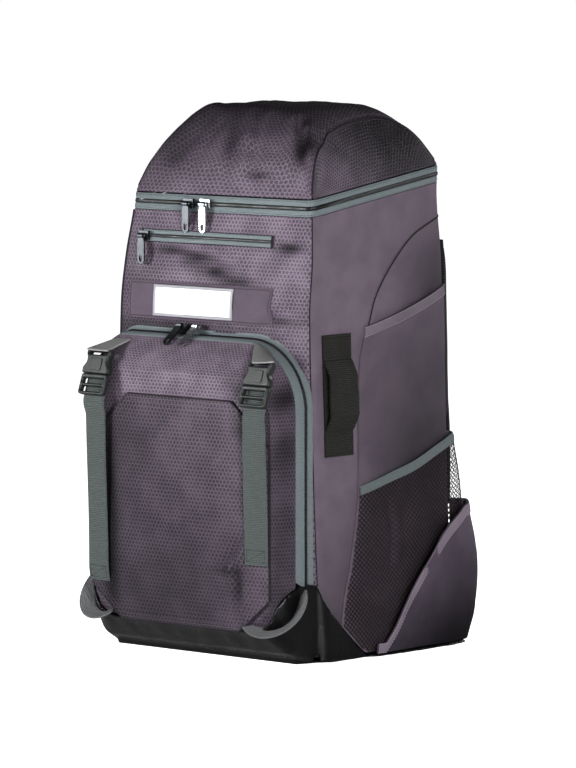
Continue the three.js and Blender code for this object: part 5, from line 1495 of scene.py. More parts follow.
@dataclass
class FrontPanelDetails:
    """The small zip, the smooth band under it and the plain plate on the band."""

    patch: tuple[float, float, float, float] = (-104, 74, 313, 348.5)
    plate: tuple[float, float, float, float] = (-71, 28, 316, 345.5)
    small: tuple[float, float, float, float] = (-95, 69, 385, 397)
    rim: float = 2.6

    def patch_on_front(self, name: str, area: tuple[float, float, float, float], layer: float, wall: float,
                       finish: Finish, nodes: Sequence[str] = (), hem: float = 0.0, rise: float = 0.0) -> None:
        """A flat patch between two corners in x and z, lying on the folded front.

        Args:
            name: the piece's name.
            area: left, right, low and high in mm.
            layer: how far its back lies off the cloth.
            wall: its thickness.
            finish: its finish.
            nodes: the CAD nodes that it stands for.
            hem: how far its edges turn in.
            rise: how much fuller its middle is than its edge.
        """
        left, right, low, high = area
        step = lambda a, b: max(int((b - a) / 2.2), 2)
        grid = SheetMesh.over(lambda x, z: BODY.front(x, z), lines(left, right, step(left, right), 0.006),
                              lines(low, high, step(low, high), 0.03))
        full = rise * np.clip(4 * (grid.up - low) * (high - grid.up) / (high - low) ** 2, 0, 1) ** 0.5
        piece = lay(name, grid, layer, layer + wall + full, hem=hem, uv_from=(0, 2))
        DRESSER.dress(piece, finish, nodes)

    def frame_path(self, area: tuple[float, float, float, float], inset: float, off: float) -> tuple[Grid, Grid]:
        """A closed path just inside a patch's edge and the outward direction along it."""
        left, right, low, high = area[0] + inset, area[1] - inset, area[2] + inset, area[3] - inset
        corner = np.array([[left, low], [right, low], [right, high], [left, high], [left, low]])
        run = np.concatenate([[0], np.cumsum(np.abs(np.diff(corner, axis=0)).sum(axis=1))])
        at = np.linspace(0, run[-1], 200)
        x, z = np.interp(at, run, corner[:, 0]), np.interp(at, run, corner[:, 1])
        place = BODY.front(x, z)
        place[:, 1] -= off
        return place, np.broadcast_to(np.array([0.0, -1.0, 0.0]), place.shape)

    def build(self) -> None:
        """Makes the band, the plate with its raised rim, and the small zip."""
        gap = WALLS.gap
        self.patch_on_front("patch_cloth", self.patch, gap / 2, 1.2, PLUM_DARK, ["patch_band"], hem=0.5)
        self.patch_on_front("plate_face", self.plate, gap + 1.2, 0.9, PLATE, ["label_plate"])
        left, right, low, high = self.plate
        r = self.rim
        for name, area in (("low", (left, right, low, low + r)), ("high", (left, right, high - r, high)),
                           ("left", (left, left + r, low + r, high - r)),
                           ("right", (right - r, right, low + r, high - r))):
            self.patch_on_front(f"plate_rim_{name}", area, gap + 1.2, 1.35, PLATE_RIM, hem=0.3)
        rows = [self.frame_path(self.patch, 2.2, gap / 2 + 1.3)]
        DRESSER.dress(stitch_row("patch_stitches", rows, 2.6, 2.0, 0.7, 0.6), PIPING)
        self.small_zip()

    def small_zip(self) -> None:
        """Two tapes with a dark coil between them, in a dark bound slot."""
        left, right, low, high = self.small
        middle = (low + high) / 2
        self.patch_on_front("small_zip_slot", self.small, WALLS.gap, 0.6, PIPING, ["small_zip_tape"])
        self.patch_on_front("small_zip_lower", (left + 3, right - 2.5, low + 0.7, middle - 1.5), 1.0, 0.5, ZIP_TAPE,
                            hem=0.3, rise=0.7)
        self.patch_on_front("small_zip_upper", (left + 3, right - 2.5, middle + 1.5, high - 0.7), 1.0, 0.5, ZIP_TAPE,
                            hem=0.3, rise=0.7)
        x = np.linspace(left + 4, right - 3, 90)
        path = BODY.front(x, np.full(90, middle))
        path[:, 1] -= 1.0
        up = np.broadcast_to(np.array([0.0, -1.0, 0.0]), path.shape)
        ZipCoil(tooth=(1.2, 2.6, 1.3)).build("small_zip_coil_row", path, up, ["small_zip_coil"])
        rows = [self.frame_path((left, right, low, high), -1.6, 0.2)]
        DRESSER.dress(stitch_row("small_zip_stitches", rows, 2.8, 1.9, 0.45, 0.4), THREAD_PLUM)


@dataclass
class HelmetFlap:
    """The eight-sided flap over the pocket, with its bound edge and darts."""

    outline: Table = Table(((0.102, 0.61), (0.203, 0.915), (0.672, 0.915), (0.807, 0.535)))
    creases: tuple[Crease, ...] = (
        Crease((84, 128), (50, 88), 5, 3.0, bow=5, lip=0.9),
        Crease((76, 52), (70, 100), 4, 2.6, bow=-3, lip=0.8),
        Crease((-96, 180), (-60, 120), 12, 1.3, lip=0.6),
        Crease((-30, 232), (38, 214), 9, 1.2, lip=0.5),
        Crease((104, 226), (72, 190), 8, 1.6, bow=2, lip=0.6),
        Crease((-70, 40), (-30, 90), 9, 1.0, lip=0.5),
    )

    def half(self, z: Grid) -> Grid:
        """The flap's half width at a height."""
        return self.outline.straight(z / POCKET.top, 1) * POCKET.width / 2

    def surface(self, u: Grid, z: Grid) -> Grid:
        """A point on the flap: on the pocket's face, lifted by its own soft folds away from the edges."""
        x = u * self.half(z)
        low, high = 0.102 * POCKET.top, 0.807 * POCKET.top
        calm = smooth(1 - np.abs(u), 0, 0.08) * smooth(z, low, low + 12) * (1 - smooth(z, high - 12, high))
        lift = folds(self.creases, x, z) + 0.9 * ripple(x, z, 62, 51) + 0.35 * ripple(x, z, 24, 52)
        calm = calm * (1 - 0.75 * np.exp(-(((np.abs(x) - 98) / 15) ** 2)))
        return points(x, POCKET.face_y(x, z) - (lift + 1.3) * calm, z)

    def edge(self, inset: float, off: float) -> tuple[Grid, Grid]:
        """A closed path inside the flap's edge and the outward direction along it."""
        rows = np.array(self.outline.rows)
        z = rows[:, 0] * POCKET.top
        half = rows[:, 1] * POCKET.width / 2
        ring = np.array([[half[i], z[i]] for i in range(4)] + [[-half[i], z[i]] for i in reversed(range(4))])
        middle = ring.mean(axis=0)
        size = np.abs(ring - middle)
        ring = middle + np.sign(ring - middle) * (size - inset * np.array([1.0, 1.0]))
        ring = np.concatenate([ring, ring[:1]])
        run = np.concatenate([[0], np.cumsum(np.linalg.norm(np.diff(ring, axis=0), axis=1))])
        at = np.linspace(0, run[-1], 320)
        x, zz = np.interp(at, run, ring[:, 0]), np.interp(at, run, ring[:, 1])
        place = self.surface(np.clip(x / self.half(zz), -1, 1), zz)
        place[:, 1] -= off
        return place, np.broadcast_to(np.array([0.0, -1.0, 0.0]), place.shape)

    def build(self) -> None:
        """Makes the flap, its bound edge and two stitch rows."""
        low, high = 0.102 * POCKET.top, 0.807 * POCKET.top
        zs = np.unique(np.concatenate([lines(low, high, 95, 0.006), np.array([0.203, 0.672]) * POCKET.top]))
        gap = WALLS.gap
        grid = SheetMesh.over(self.surface, lines(-1, 1, 100, 0.006), zs,
                              centre=np.array([0, POCKET.plane, 150.0]))
        flap = lay("flap_cloth", grid, 2 * gap, 2 * gap + WALLS.cloth, hem=0.8, uv_from=(0, 2))
        DRESSER.dress(flap, PLUM_DOBBY, ["helmet_flap"])
        width = 2 * self.half(zs)
        path, up = self.edge(0.6, 2 * gap + 0.9)
        cord = sweep("flap_binding", path[:-1], round_profile(1.25), up[:-1], closed=True)
        DRESSER.dress(cord, PIPING)
        rows = [self.edge(5.5, 2 * gap + WALLS.cloth + 0.05), self.edge(3.2, 2 * gap + WALLS.cloth)]
        DRESSER.dress(stitch_row("flap_stitches", rows, 3.2, 2.1, 0.5, 0.45), THREAD_PLUM)


def plate_mesh(name: str, outline: Grid, holes: Sequence[Grid], thick: float, soft: float, axes: Grid, origin: Grid
               ) -> bpy.types.Object:
    """A flat moulded plate with rounded edges and holes through it.

    The outline and holes are filled as one flat shape, thickened evenly both ways and bevelled, and the result is
    turned so that its x, y and thickness lie along the three axes.

    Args:
        name: the piece's name.
        outline: the outer edge's (x, y) rows in mm.
        holes: rows for each hole.
        thick: the plate's thickness in mm.
        soft: the bevel's size in mm.
        axes: three unit rows.
        origin: the place of the outline's (0, 0).

    Returns:
        The object.
    """
    curve = bpy.data.curves.new(name, "CURVE")
    curve.dimensions, curve.fill_mode = "2D", "BOTH"
    inset = [np.asarray(outline, dtype=float), *[np.asarray(h, dtype=float) for h in holes]]
    for ring in inset:
        spline = curve.splines.new("POLY")
        spline.points.add(len(ring) - 1)
        spline.points.foreach_set("co", np.concatenate([ring, np.zeros((len(ring), 1)), np.ones((len(ring), 1))],
                                                       axis=1).ravel())
        spline.use_cyclic_u = True
    curve.extrude, curve.bevel_depth, curve.bevel_resolution = max(thick / 2 - soft, 0.01), soft, 2
    curve.offset = -soft
    holder = bpy.data.objects.new(name, curve)
    mesh = bpy.data.meshes.new_from_object(holder)
    bpy.data.objects.remove(holder)
    bpy.data.curves.remove(curve)
    co = np.empty(len(mesh.vertices) * 3)
    mesh.vertices.foreach_get("co", co)
    placed = (np.asarray(origin) + co.reshape(-1, 3) @ np.asarray(axes)) * MM
    mesh.vertices.foreach_set("co", placed.ravel())
    if np.linalg.det(np.asarray(axes)) < 0:
        mesh.flip_normals()
    mesh.update()
    mesh.shade_smooth()
    mesh.set_sharp_from_angle(angle=0.6)
    made = bpy.data.objects.new(name, mesh)
    bpy.context.scene.collection.objects.link(made)
    return made


def rounded_box(width: float, height: float, radius: float, count: int = 5, middle: tuple[float, float] = (0, 0)
                ) -> Grid:
    """A rectangle's outline with round corners."""
    angle = np.linspace(0, math.pi / 2, count)
    cx, cy = width / 2 - radius, height / 2 - radius
    rows = []
    for k, (sx, sy) in enumerate(((1, 1), (-1, 1), (-1, -1), (1, -1))):
        a = angle + k * math.pi / 2
        rows.append(np.stack([sx * cx + radius * np.cos(a), sy * cy + radius * np.sin(a)], axis=-1))
    return np.concatenate(rows) + np.asarray(middle)


@dataclass
class FlapStrap:
    """One side's webbing over the flap with its side-release buckle, the stub above and the corner loop."""

    side: Side
    x: float = 98
    width: float = 25.4
    buckle_width: float = 32
    buckle_wall: float = 6
    plug: float = 20
    socket: float = 24
    tilt: float = 0.35
    foot_z: float = 243
    lift: float = 4
    over_flap: float = 2.2

    @property
    def low(self) -> float:
        """The height of the strap's sewn end."""
        return 66 if self.side is Side.LEFT else 96

    @property
    def stand(self) -> float:
        """How far the buckle's foot stands off the pocket's face."""
        return 16 if self.side is Side.LEFT else 12.5

    @property
    def foot_y(self) -> float:
        """The Y of the buckle's lower end."""
        return float(POCKET.face_y(np.array(self.x), np.array(self.foot_z))) - self.stand

    def strap(self, u: Grid, z: Grid) -> Grid:
        """The strap's inner face: on the flap below, then rising in a soft curve to the buckle's slots."""
        x = self.side.value * self.x + u * self.width / 2
        lift = self.lift * smooth(z, 96, self.foot_z)
        gap = WALLS.gap
        lying = POCKET.face_y(x, z) - 3 * gap - WALLS.cloth - lift - self.over_flap * smooth(z, 60, 80)
        face = (self.buckle_wall / 2 + gap) / math.cos(self.tilt)
        rising = self.foot_y + face + WALLS.webbing / math.cos(self.tilt) + (z - self.foot_z) * math.tan(self.tilt)
        share = smooth(z, self.foot_z - self.plug, self.foot_z - WALLS.webbing)
        return points(x, mix(lying, rising, share), z)

    def build(self) -> None:
        """Makes the strap, its sewn end, the buckle, the stub and the loop."""
        word, centre = self.side.word, np.array([0, POCKET.plane, 150.0])
        top = self.foot_z + self.plug * 0.86
        grid = SheetMesh.over(self.strap, lines(-1, 1, 10, 0.03), lines(self.low, top, 90), centre=centre)
        crown = 0.25 * (1 - grid.across ** 2)
        DRESSER.dress(lay(f"flap_strap_{word}_webbing", grid, 0, WALLS.webbing + crown, hem=0.4), STRAP_GREY,
                      [f"flap_strap_{word}"])
        near, far, reach = self.low + 3, self.low + 14, 0.8
        box = [(-reach, near), (reach, near), (reach, far), (-reach, far), (-reach, near), (reach, far)]
        line = np.concatenate([np.linspace(a, b, 12) for a, b in zip(box, box[1:])])
        path = self.strap(line[:, 0], line[:, 1])
        path[:, 1] -= WALLS.webbing + 0.2
        up = np.broadcast_to(np.array([0.0, -1.0, 0.0]), path.shape)
        DRESSER.dress(stitch_row(f"flap_strap_{word}_stitches", [(path, up)], 2.4, 1.8, 0.5, 0.45), THREAD_DARK)
        self.buckle()
        self.stub()
        self.loop()

    def axes(self) -> tuple[Grid, Grid]:
        """The buckle's axes (across, up along it, outwards) and its foot."""
        c, s = math.cos(self.tilt), math.sin(self.tilt)
        return np.array([[1, 0, 0], [0, s, c], [0, -c, s]]), np.array([self.side.value * self.x, self.foot_y,
                                                                      self.foot_z])

    def buckle(self) -> None:
        """The plug with its two ladder slots and bars, and the socket, waisted with side windows."""
        word, (axes, foot) = self.side.word, self.axes()
        half, plug, sock = self.buckle_width / 2, self.plug, self.socket
        slot = self.width + 0.8
        outline = rounded_box(self.buckle_width, plug, 2.4, middle=(0, plug / 2))
        holes = [rounded_box(slot, plug * 0.26, 1.2, middle=(0, plug * 0.27)),
                 rounded_box(slot, plug * 0.26, 1.2, middle=(0, plug * 0.67))]
        piece = plate_mesh(f"buckle_plug_{word}_body", outline, holes, self.buckle_wall, 1.3, axes, foot)
        DRESSER.dress(piece, BUCKLE, [f"buckle_plug_{word}"])
        low, high, waist = plug + 0.4, plug + sock, 0.36 * self.buckle_width
        turn = np.linspace(0, 1, 14)[:, None]
        right = np.concatenate([
            [[half - 1.2, low], [half, low + 1.2], [half, low + 0.25 * sock]],
            np.array([half, low + 0.25 * sock]) * (1 - turn) ** 2 + 2 * turn * (1 - turn) * np.array(
                [waist - 1.5, low + 0.5 * sock]) + turn ** 2 * np.array([0.92 * half, high - 0.2 * sock]),
            [[0.92 * half, high - 1.5], [0.92 * half - 1.5, high]]])
        socket_outline = np.concatenate([right, (right * [-1, 1])[::-1]])
        holes = [rounded_box(0.75 * self.buckle_width, 0.12 * sock, 1.0, middle=(0, high - 0.16 * sock))]
        piece = plate_mesh(f"buckle_socket_{word}_body", socket_outline, holes, self.buckle_wall * 1.3, 1.6, axes,
                           foot)
        DRESSER.dress(piece, BUCKLE, [f"buckle_socket_{word}"])
        tongue = rounded_box(half * 0.9, sock * 0.5, 2.2, middle=(0, low + 0.36 * sock))
        raised = foot + axes[2] * (self.buckle_wall * 0.65 + 0.2)
        DRESSER.dress(plate_mesh(f"buckle_panel_{word}", tongue, [], 1.4, 0.5, axes, raised), BUCKLE)

    def stub(self) -> None:
        """The short webbing from the socket's bar to the pocket's zip seam."""
        word = self.side.word
        start_at = self.plug + self.socket + 2 * WALLS.gap + WALLS.webbing / 2
        row, share = (2.5, 0.76) if self.side is Side.LEFT else (2.04, 0.665)

        def surface(u: Grid, v: Grid) -> Grid:
            """Straight from the socket's bar to the arch, narrowing slightly, with a soft sag."""
            start = points(self.side.value * self.x + u * self.width / 2,
                           self.foot_y + start_at * math.sin(self.tilt), self.foot_z + start_at * math.cos(self.tilt))
            x = share * POCKET.width / 2 + self.side.value * u * self.width * 0.42
            end = POCKET.point(POCKET.arch_turn(self.side, x, row), np.full(np.shape(u), row))
            end = end + np.array([0.0, -WALLS.gap, WALLS.gap])
            return mix(start, end, v[..., None])

        grid = SheetMesh.over(surface, lines(-1, 1, 10, 0.03), lines(-0.28, 1.12, 20),
                              centre=np.array([0, POCKET.plane, 150.0]))
        piece = lay(f"strap_stub_{word}_webbing", grid, 0, WALLS.webbing, hem=0.4)
        DRESSER.dress(piece, LIGHT_WEBBING, [f"strap_stub_{word}"])

    def loop(self) -> None:
        """The webbing loop at the bottom corner: half an oval, its face turned out and down."""
        s, word = self.side.value, self.side.word
        a = np.array([s * 84, POCKET.plane - POCKET.depth + WALLS.gap, 40.0])
        b = np.array([s * 121, POCKET.plane - 21, 68.0])
        middle, span = (a + b) / 2, (b - a) / np.linalg.norm(b - a)
        hang = np.array([s * 0.1, -0.6, -0.8])
        hang -= span * hang.dot(span)
        hang /= np.linalg.norm(hang)
        face = np.cross(span, hang)
        face = face / np.linalg.norm(face) * s
        reach = np.linalg.norm(b - a) / 2

        def surface(u: Grid, v: Grid) -> Grid:
            """Half an oval in the plane of span and hang, spread to a ribbon along a tilted width."""
            cu, su = np.cos(u)[..., None], np.sin(u)[..., None]
            width = (-span * cu + hang * su) * math.cos(0.6) - face * math.sin(0.6)
            return middle - span * reach * cu + hang * 26 * su + width * (v[..., None] * 18)

        grid = SheetMesh.over(surface, np.linspace(0.03, 0.97, 60) * math.pi, lines(-0.5, 0.5, 8, 0.04))
        piece = lay(f"corner_loop_{word}_webbing", grid, 0, WALLS.webbing, hem=0.4)
        DRESSER.dress(piece, LOOP_WEBBING, [f"corner_loop_{word}"])


@dataclass
class SidePieces:
    """One side's bat sleeve, net pocket, foot pouch and black strap."""

    side: Side
    seam: Table = Table(((0, 0.21), (0.06, 0.15), (0.12, 0.17), (0.208, 0.23), (0.305, 0.275), (0.383, 0.3),
                         (0.541, 0.31), (0.66, 0.33), (0.72, 0.37)))
    seam_above: Table = Table(((0.41, 315), (0.442, 332), (0.495, 348), (0.576, 364.5), (0.672, 380.5),
                               (0.763, 392), (0.859, 399.5), (0.95, 406), (0.99, 408.5)))
    sleeve_edge: Table = Table(((0, 0.7), (0.37, 0.733), (0.7, 0.772), (1, 0.813)))
    net_edge: Table = Table(((0, 0.36), (0.3, 0.383), (0.5, 0.409), (0.66, 0.428), (0.83, 0.454), (1, 0.478)))
    pouch_edge: Table = Table(((0.35, 0), (0.45, 0.062), (0.55, 0.144), (0.76, 0.253), (1, 0.324)))
    fullness: Table = Table(((0, 0), (0.15, 0.3), (0.4, 0.66), (0.7, 0.93), (0.88, 1), (0.95, 0.85), (1, 0)))
    stand: Table = Table(((0, 0.3, 0.3, 0.45), (0.08, 0.4, 0.6, 0.95), (0.2, 0.5, 0.95, 0.85), (0.3, 0.5, 1, 0.35),
                          (0.4, 0.5, 0.7, 0.1), (0.5, 0.6, 0.3, 0), (0.82, 1, 0.1, 0)))
    sleeve_full: float = 4
    net_full: float = 13
    pouch_full: float = 13
    net_wall: float = 1.2
    side_end: float = 0.985
    wrap_end: float = 1.035
    hem: float = 9
    floor: float = 3.4
    net_pitch: float = 3.5
    yarn: float = 0.55
    strap_at: float = 0.174
    strap_width: float = 38
    strap_low: float = 192
    strap_high: float = 306
    loop_margin: float = 24
    loop_rise: float = 8
    net_creases: tuple[Crease, ...] = (
        Crease((-28, 150), (-26, 78), 4, 3.2, bow=4, lip=0.8),
        Crease((10, 165), (-20, 110), 8, 2.0, bow=3, lip=0.7),
        Crease((-70, 60), (-20, 40), 7, 2.0, lip=0.6),
        Crease((30, 150), (50, 110), 9, 2.2, lip=0.6),
    )
    pouch_creases: tuple[Crease, ...] = (
        Crease((36, 60), (44, 110), 12, 2.4, lip=0.5),
        Crease((-20, 30), (30, 22), 9, 2.0, lip=0.5),
        Crease((60, 90), (66, 40), 8, 1.8, lip=0.5),
    )
    sleeve_creases: tuple[Crease, ...] = (
        Crease((-38, 250), (-10, 216), 12, 1.3, lip=0.6),
        Crease((-25, 215), (20, 290), 18, 1.6, lip=0.6),
        Crease((20, 190), (70, 215), 14, 1.4, lip=0.5),
        Crease((40, 300), (56, 240), 12, 1.3, lip=0.5),
    )

    def seam_along(self, z: Grid) -> Grid:
        """The place along the side of the seam in front of the sleeve and the net."""
        return self.seam.read(np.asarray(z) / BODY.zip_height, 1)

    def boot_top(self, along: Grid) -> Grid:
        """The height of the boot's upper edge along the side."""
        share = np.clip(np.asarray(along, dtype=float) / 0.3, 0, 1) ** 0.7
        return mix(0.243 * POCKET.top, WALLS.boot + 1, share)

    def swell(self, along: Grid, start: Grid | float) -> Grid:
        """How full the cloth is between a start along the side and the wrap's end."""
        return self.fullness.read(np.clip((along - start) / (self.wrap_end - start), 0, 1), 1)

    def sleeve_out(self, along: Grid, z: Grid) -> Grid:
        """How far the sleeve's outer face stands off the body."""
        seam = self.seam_along(z)
        a = np.clip((along - seam) / (self.side_end - seam), 0, 1)
        return (WALLS.gap + WALLS.cloth
                + self.sleeve_full * 4 * a * (1 - a) * self.stand.read(z / BODY.zip_height, 1))

    def net_out(self, along: Grid, z: Grid) -> Grid:
        """How far the net's outer face stands off the body."""
        swollen = self.swell(along, self.seam_along(z)) * self.stand.read(z / BODY.zip_height, 2)
        return self.sleeve_out(along, z) + WALLS.gap + self.net_wall + self.net_full * swollen

    def pouch_out(self, along: Grid, z: Grid) -> Grid:
        """How far the pouch's outer face stands off the body."""
        swollen = self.swell(along, 0.25) * self.stand.read(z / BODY.zip_height, 3)
        return self.net_out(along, z) + WALLS.gap + WALLS.cloth + self.pouch_full * swollen

    def low_edge(self, along: Grid) -> Grid:
        """The lower edge of the sleeve and the net, just over the boot."""
        return np.maximum(self.boot_top(along), self.floor) + WALLS.gap

    def top_of(self, edge: Table) -> Surface:
        """The height of an edge along the side, as a function of the place along."""
        return lambda along: edge.read(along, 1) * BODY.zip_height

    def body_at(self, along: Grid, z: Grid) -> Grid:
        """A point on the body's side."""
        return BODY.point(self.side.value * (1 + along), z)

    def place(self, a: Grid, v: Grid, start: Callable[[Grid], Grid], end: float, low: Callable[[Grid], Grid],
              high: Callable[[Grid], Grid]) -> tuple[Grid, Grid]:
        """Settles the place along and the height of a point given as shares of a piece whose edges slope.

        The height follows from the place along, and the place along from the height, so both are worked out in
        turn six times over.
        """
        along = mix(start(np.full(np.shape(a), BODY.zip_height / 4)), end, a)
        z = np.zeros(np.shape(a))
        for _ in range(6):
            z = mix(low(along), high(along), v)
            along = mix(start(z), end, a)
        return along, z

    def piece(self, name: str, edges: tuple, out: Surface, wall: float, finish: Finish, nodes: Sequence[str],
              counts: tuple[int, int], creases: Sequence[Crease] = (), rough: float = 0.0, hem: float = 0.4,
              rise: float = 0.0) -> SheetMesh:
        """A sheet on the side between its edges, at its own distance from the body, with its folds.

        Args:
            name: the piece's name.
            edges: its start, end, lower edge and upper edge, as place() takes them.
            out: how far its outer face stands off the body.
            wall: its thickness.
            finish: its finish.
            nodes: the CAD nodes that it stands for.
            counts: steps along and up.
            creases: its folds, in Y and Z.
            rough: how uneven it is in mm.
            hem: how far its edges turn in.
            rise: how full it is across, as a folded tape is.

        Returns:
            Its outer face, for what is sewn on it.
        """
        us = np.unique(np.concatenate([lines(0, 1, counts[0], 0.01), np.linspace(0.88, 1, 14)]))
        vs = lines(0, 1, counts[1], 0.02)
        a, v = np.meshgrid(us, vs, indexing="ij")
        along, z = self.place(a, v, *edges)
        base = SheetMesh.over(lambda i, j: self.body_at(along, z), us, vs)
        flat = self.body_at(along, z)
        calm = np.minimum(smooth(a, 0, 0.12) * (1 - smooth(a, 0.93, 1)), 1)
        lift = folds(creases, flat[..., 1], z) + rough * ripple(flat[..., 1], z, 40, 61 + len(name))
        far = out(along, z) + lift * calm * smooth(v, 0, 0.1) + rise * 4 * v * (1 - v)
        made = lay(name, base, far - wall, far, hem=hem)
        DRESSER.dress(made, finish, nodes)
        return SheetMesh(base.place + base.normal * far[..., None], base.normal, a, v)

    def build(self) -> None:
        """Makes the side's pieces from the inside out."""
        word = self.side.word
        sleeve_top, net_top, pouch_top = (self.top_of(e) for e in (self.sleeve_edge, self.net_edge,
                                                                     self.pouch_edge))
        seam, gap = self.seam_along, WALLS.gap
        self.piece(f"sleeve_{word}_cloth", (seam, self.side_end, self.low_edge,
                                            lambda a: sleeve_top(a) - self.hem - gap),
                   self.sleeve_out, WALLS.cloth, PLUM_PLAIN, [f"sleeve_{word}"], (60, 110), self.sleeve_creases, 0.5)
        hem = self.piece(f"sleeve_hem_{word}_cloth", (seam, self.side_end, lambda a: sleeve_top(a) - self.hem,
                                                      sleeve_top),
                         lambda a, z: self.sleeve_out(a, z) + 0.3, WALLS.cloth + 0.3, HEM_CLOTH,
                         [f"sleeve_hem_{word}"], (60, 10), rise=0.3)
        self.hem_stitches(f"sleeve_hem_{word}_stitches", hem, (0.12, 0.86), THREAD_LIGHT)
        self.net(net_top)
        tape = self.piece(f"net_hem_{word}_tape", (seam, self.wrap_end, lambda a: net_top(a) - self.hem, net_top),
                          self.net_out, self.net_wall, NET_TAPE, [f"net_hem_{word}"], (60, 10), rise=0.9)
        self.hem_stitches(f"net_hem_{word}_stitches", tape, (0.14,), THREAD_DARK)
        start = lambda z: np.full(np.shape(z), 0.35)
        top = lambda a: np.maximum(pouch_top(a), self.floor + self.hem)
        foot = lambda a: np.full(np.shape(a), self.floor)
        self.piece(f"foot_pouch_{word}_cloth", (start, self.wrap_end, foot, top), self.pouch_out, WALLS.cloth,
                   POUCH_CLOTH, [f"foot_pouch_{word}"], (90, 80), self.pouch_creases, 0.5)
        self.pouch_band(start, top)
        self.bat_strap()

    def pouch_band(self, start: Callable[[Grid], Grid], top: Callable[[Grid], Grid]) -> None:
        """The turned and stitched band along the pouch's upper edge."""
        word = self.side.word
        band = self.piece(f"pouch_hem_{word}_cloth", (start, self.wrap_end, lambda a: top(a) - self.hem, top),
                          lambda a, z: self.pouch_out(a, z) + 0.7, 0.9, HEM_CLOTH, [], (90, 8), rise=0.3)
        self.hem_stitches(f"pouch_hem_{word}_stitches", band, (0.16, 0.84), THREAD_LIGHT)

    def hem_stitches(self, name: str, face: SheetMesh, shares: Sequence[float], thread: Finish) -> None:
        """Stitch rows along a hem at shares of its width."""
        rows = []
        for share in shares:
            j = int(round(share * (face.place.shape[1] - 1)))
            rows.append((face.place[:, j] + face.normal[:, j] * 0.1, face.normal[:, j]))
        DRESSER.dress(stitch_row(name, rows, 3.0, 2.1, 0.6, 0.5), thread)

    def net(self, net_top: Callable[[Grid], Grid]) -> None:
        """The net as real yarns: two families of strands that cross at 45 degrees, 3.5 mm apart.

        Each strand runs up at 45 degrees across the side, sampled every 1.75 mm in height. Samples inside the
        pocket's edges carry a four-sided ring, and rings that follow each other are joined.
        """
        word, depth = self.side.word, BODY.depth
        z = np.arange(2.0, 214.0, self.net_pitch / 2)
        starts = np.arange(-0.25 * depth, 1.6 * depth + 215, self.net_pitch * math.sqrt(2))
        rise, shift = np.meshgrid(z, starts)
        verts, quads, count = [], [], 0
        for way in (1, -1):
            along = (shift - 110 + way * (rise - 105)) / depth
            inside = ((rise > self.low_edge(along)) & (rise < net_top(along) - self.hem * 0.8)
                      & (along > self.seam_along(rise)) & (along < self.wrap_end))
            along = np.clip(along, 0.02, self.wrap_end + 0.03)
            base = self.body_at(along, rise)
            da = self.body_at(along + 0.004, rise) - self.body_at(along - 0.004, rise)
            dz = self.body_at(along, rise + 0.8) - self.body_at(along, rise - 0.8)
            normal = np.cross(da, dz)
            normal /= np.linalg.norm(normal, axis=-1, keepdims=True)
            normal *= np.where(normal[..., :1] * self.side.value + normal[..., 1:2] < 0, -1, 1)
            start = self.seam_along(rise)
            share = np.clip((along - start) / (self.wrap_end - start), 0, 1)
            calm = smooth(share, 0, 0.12) * (1 - smooth(share, 0.93, 1))
            lift = folds(self.net_creases, base[..., 1], rise) + 0.8 * ripple(base[..., 1], rise, 45, 71)
            far = self.net_out(along, rise) + lift * calm - self.net_wall / 2 + way * 0.2
            middle = base + normal * far[..., None]
            t = np.gradient(middle, axis=1)
            t /= np.maximum(np.linalg.norm(t, axis=-1, keepdims=True), 1e-9)
            across = np.cross(t, normal)
            r = self.yarn
            ring = np.stack([middle + across * r, middle + normal * r * 0.7, middle - across * r,
                             middle - normal * r * 0.7], axis=2)
            n, m = rise.shape
            joined = inside[:, 1:] & inside[:, :-1]
            i, j = np.nonzero(joined)
            base_at = count + (i * m + j) * 4
            for k in range(4):
                quads.append(np.stack([base_at + k, base_at + (k + 1) % 4, base_at + 4 + (k + 1) % 4,
                                       base_at + 4 + k], axis=-1))
            for cap, flip in ((inside[:, 1:] & ~inside[:, :-1], 0), (inside[:, :-1] & ~inside[:, 1:], 1)):
                i, j = np.nonzero(cap)
                end_at = count + (i * m + j + (1 - flip)) * 4
                ring_faces = np.stack([end_at + k for k in (range(4) if flip else range(3, -1, -1))], axis=-1)
                quads.append(ring_faces)
            verts.append(ring.reshape(-1, 3))
            count += n * m * 4
        verts, quads = np.concatenate(verts), np.concatenate(quads)
        used, number = np.unique(quads, return_inverse=True)
        quads = number.reshape(-1, 4)
        DRESSER.dress(put_mesh(f"net_{word}_yarn", verts[used], quads, None, 1.2), NET_YARN,
                      [f"net_pocket_{word}"])

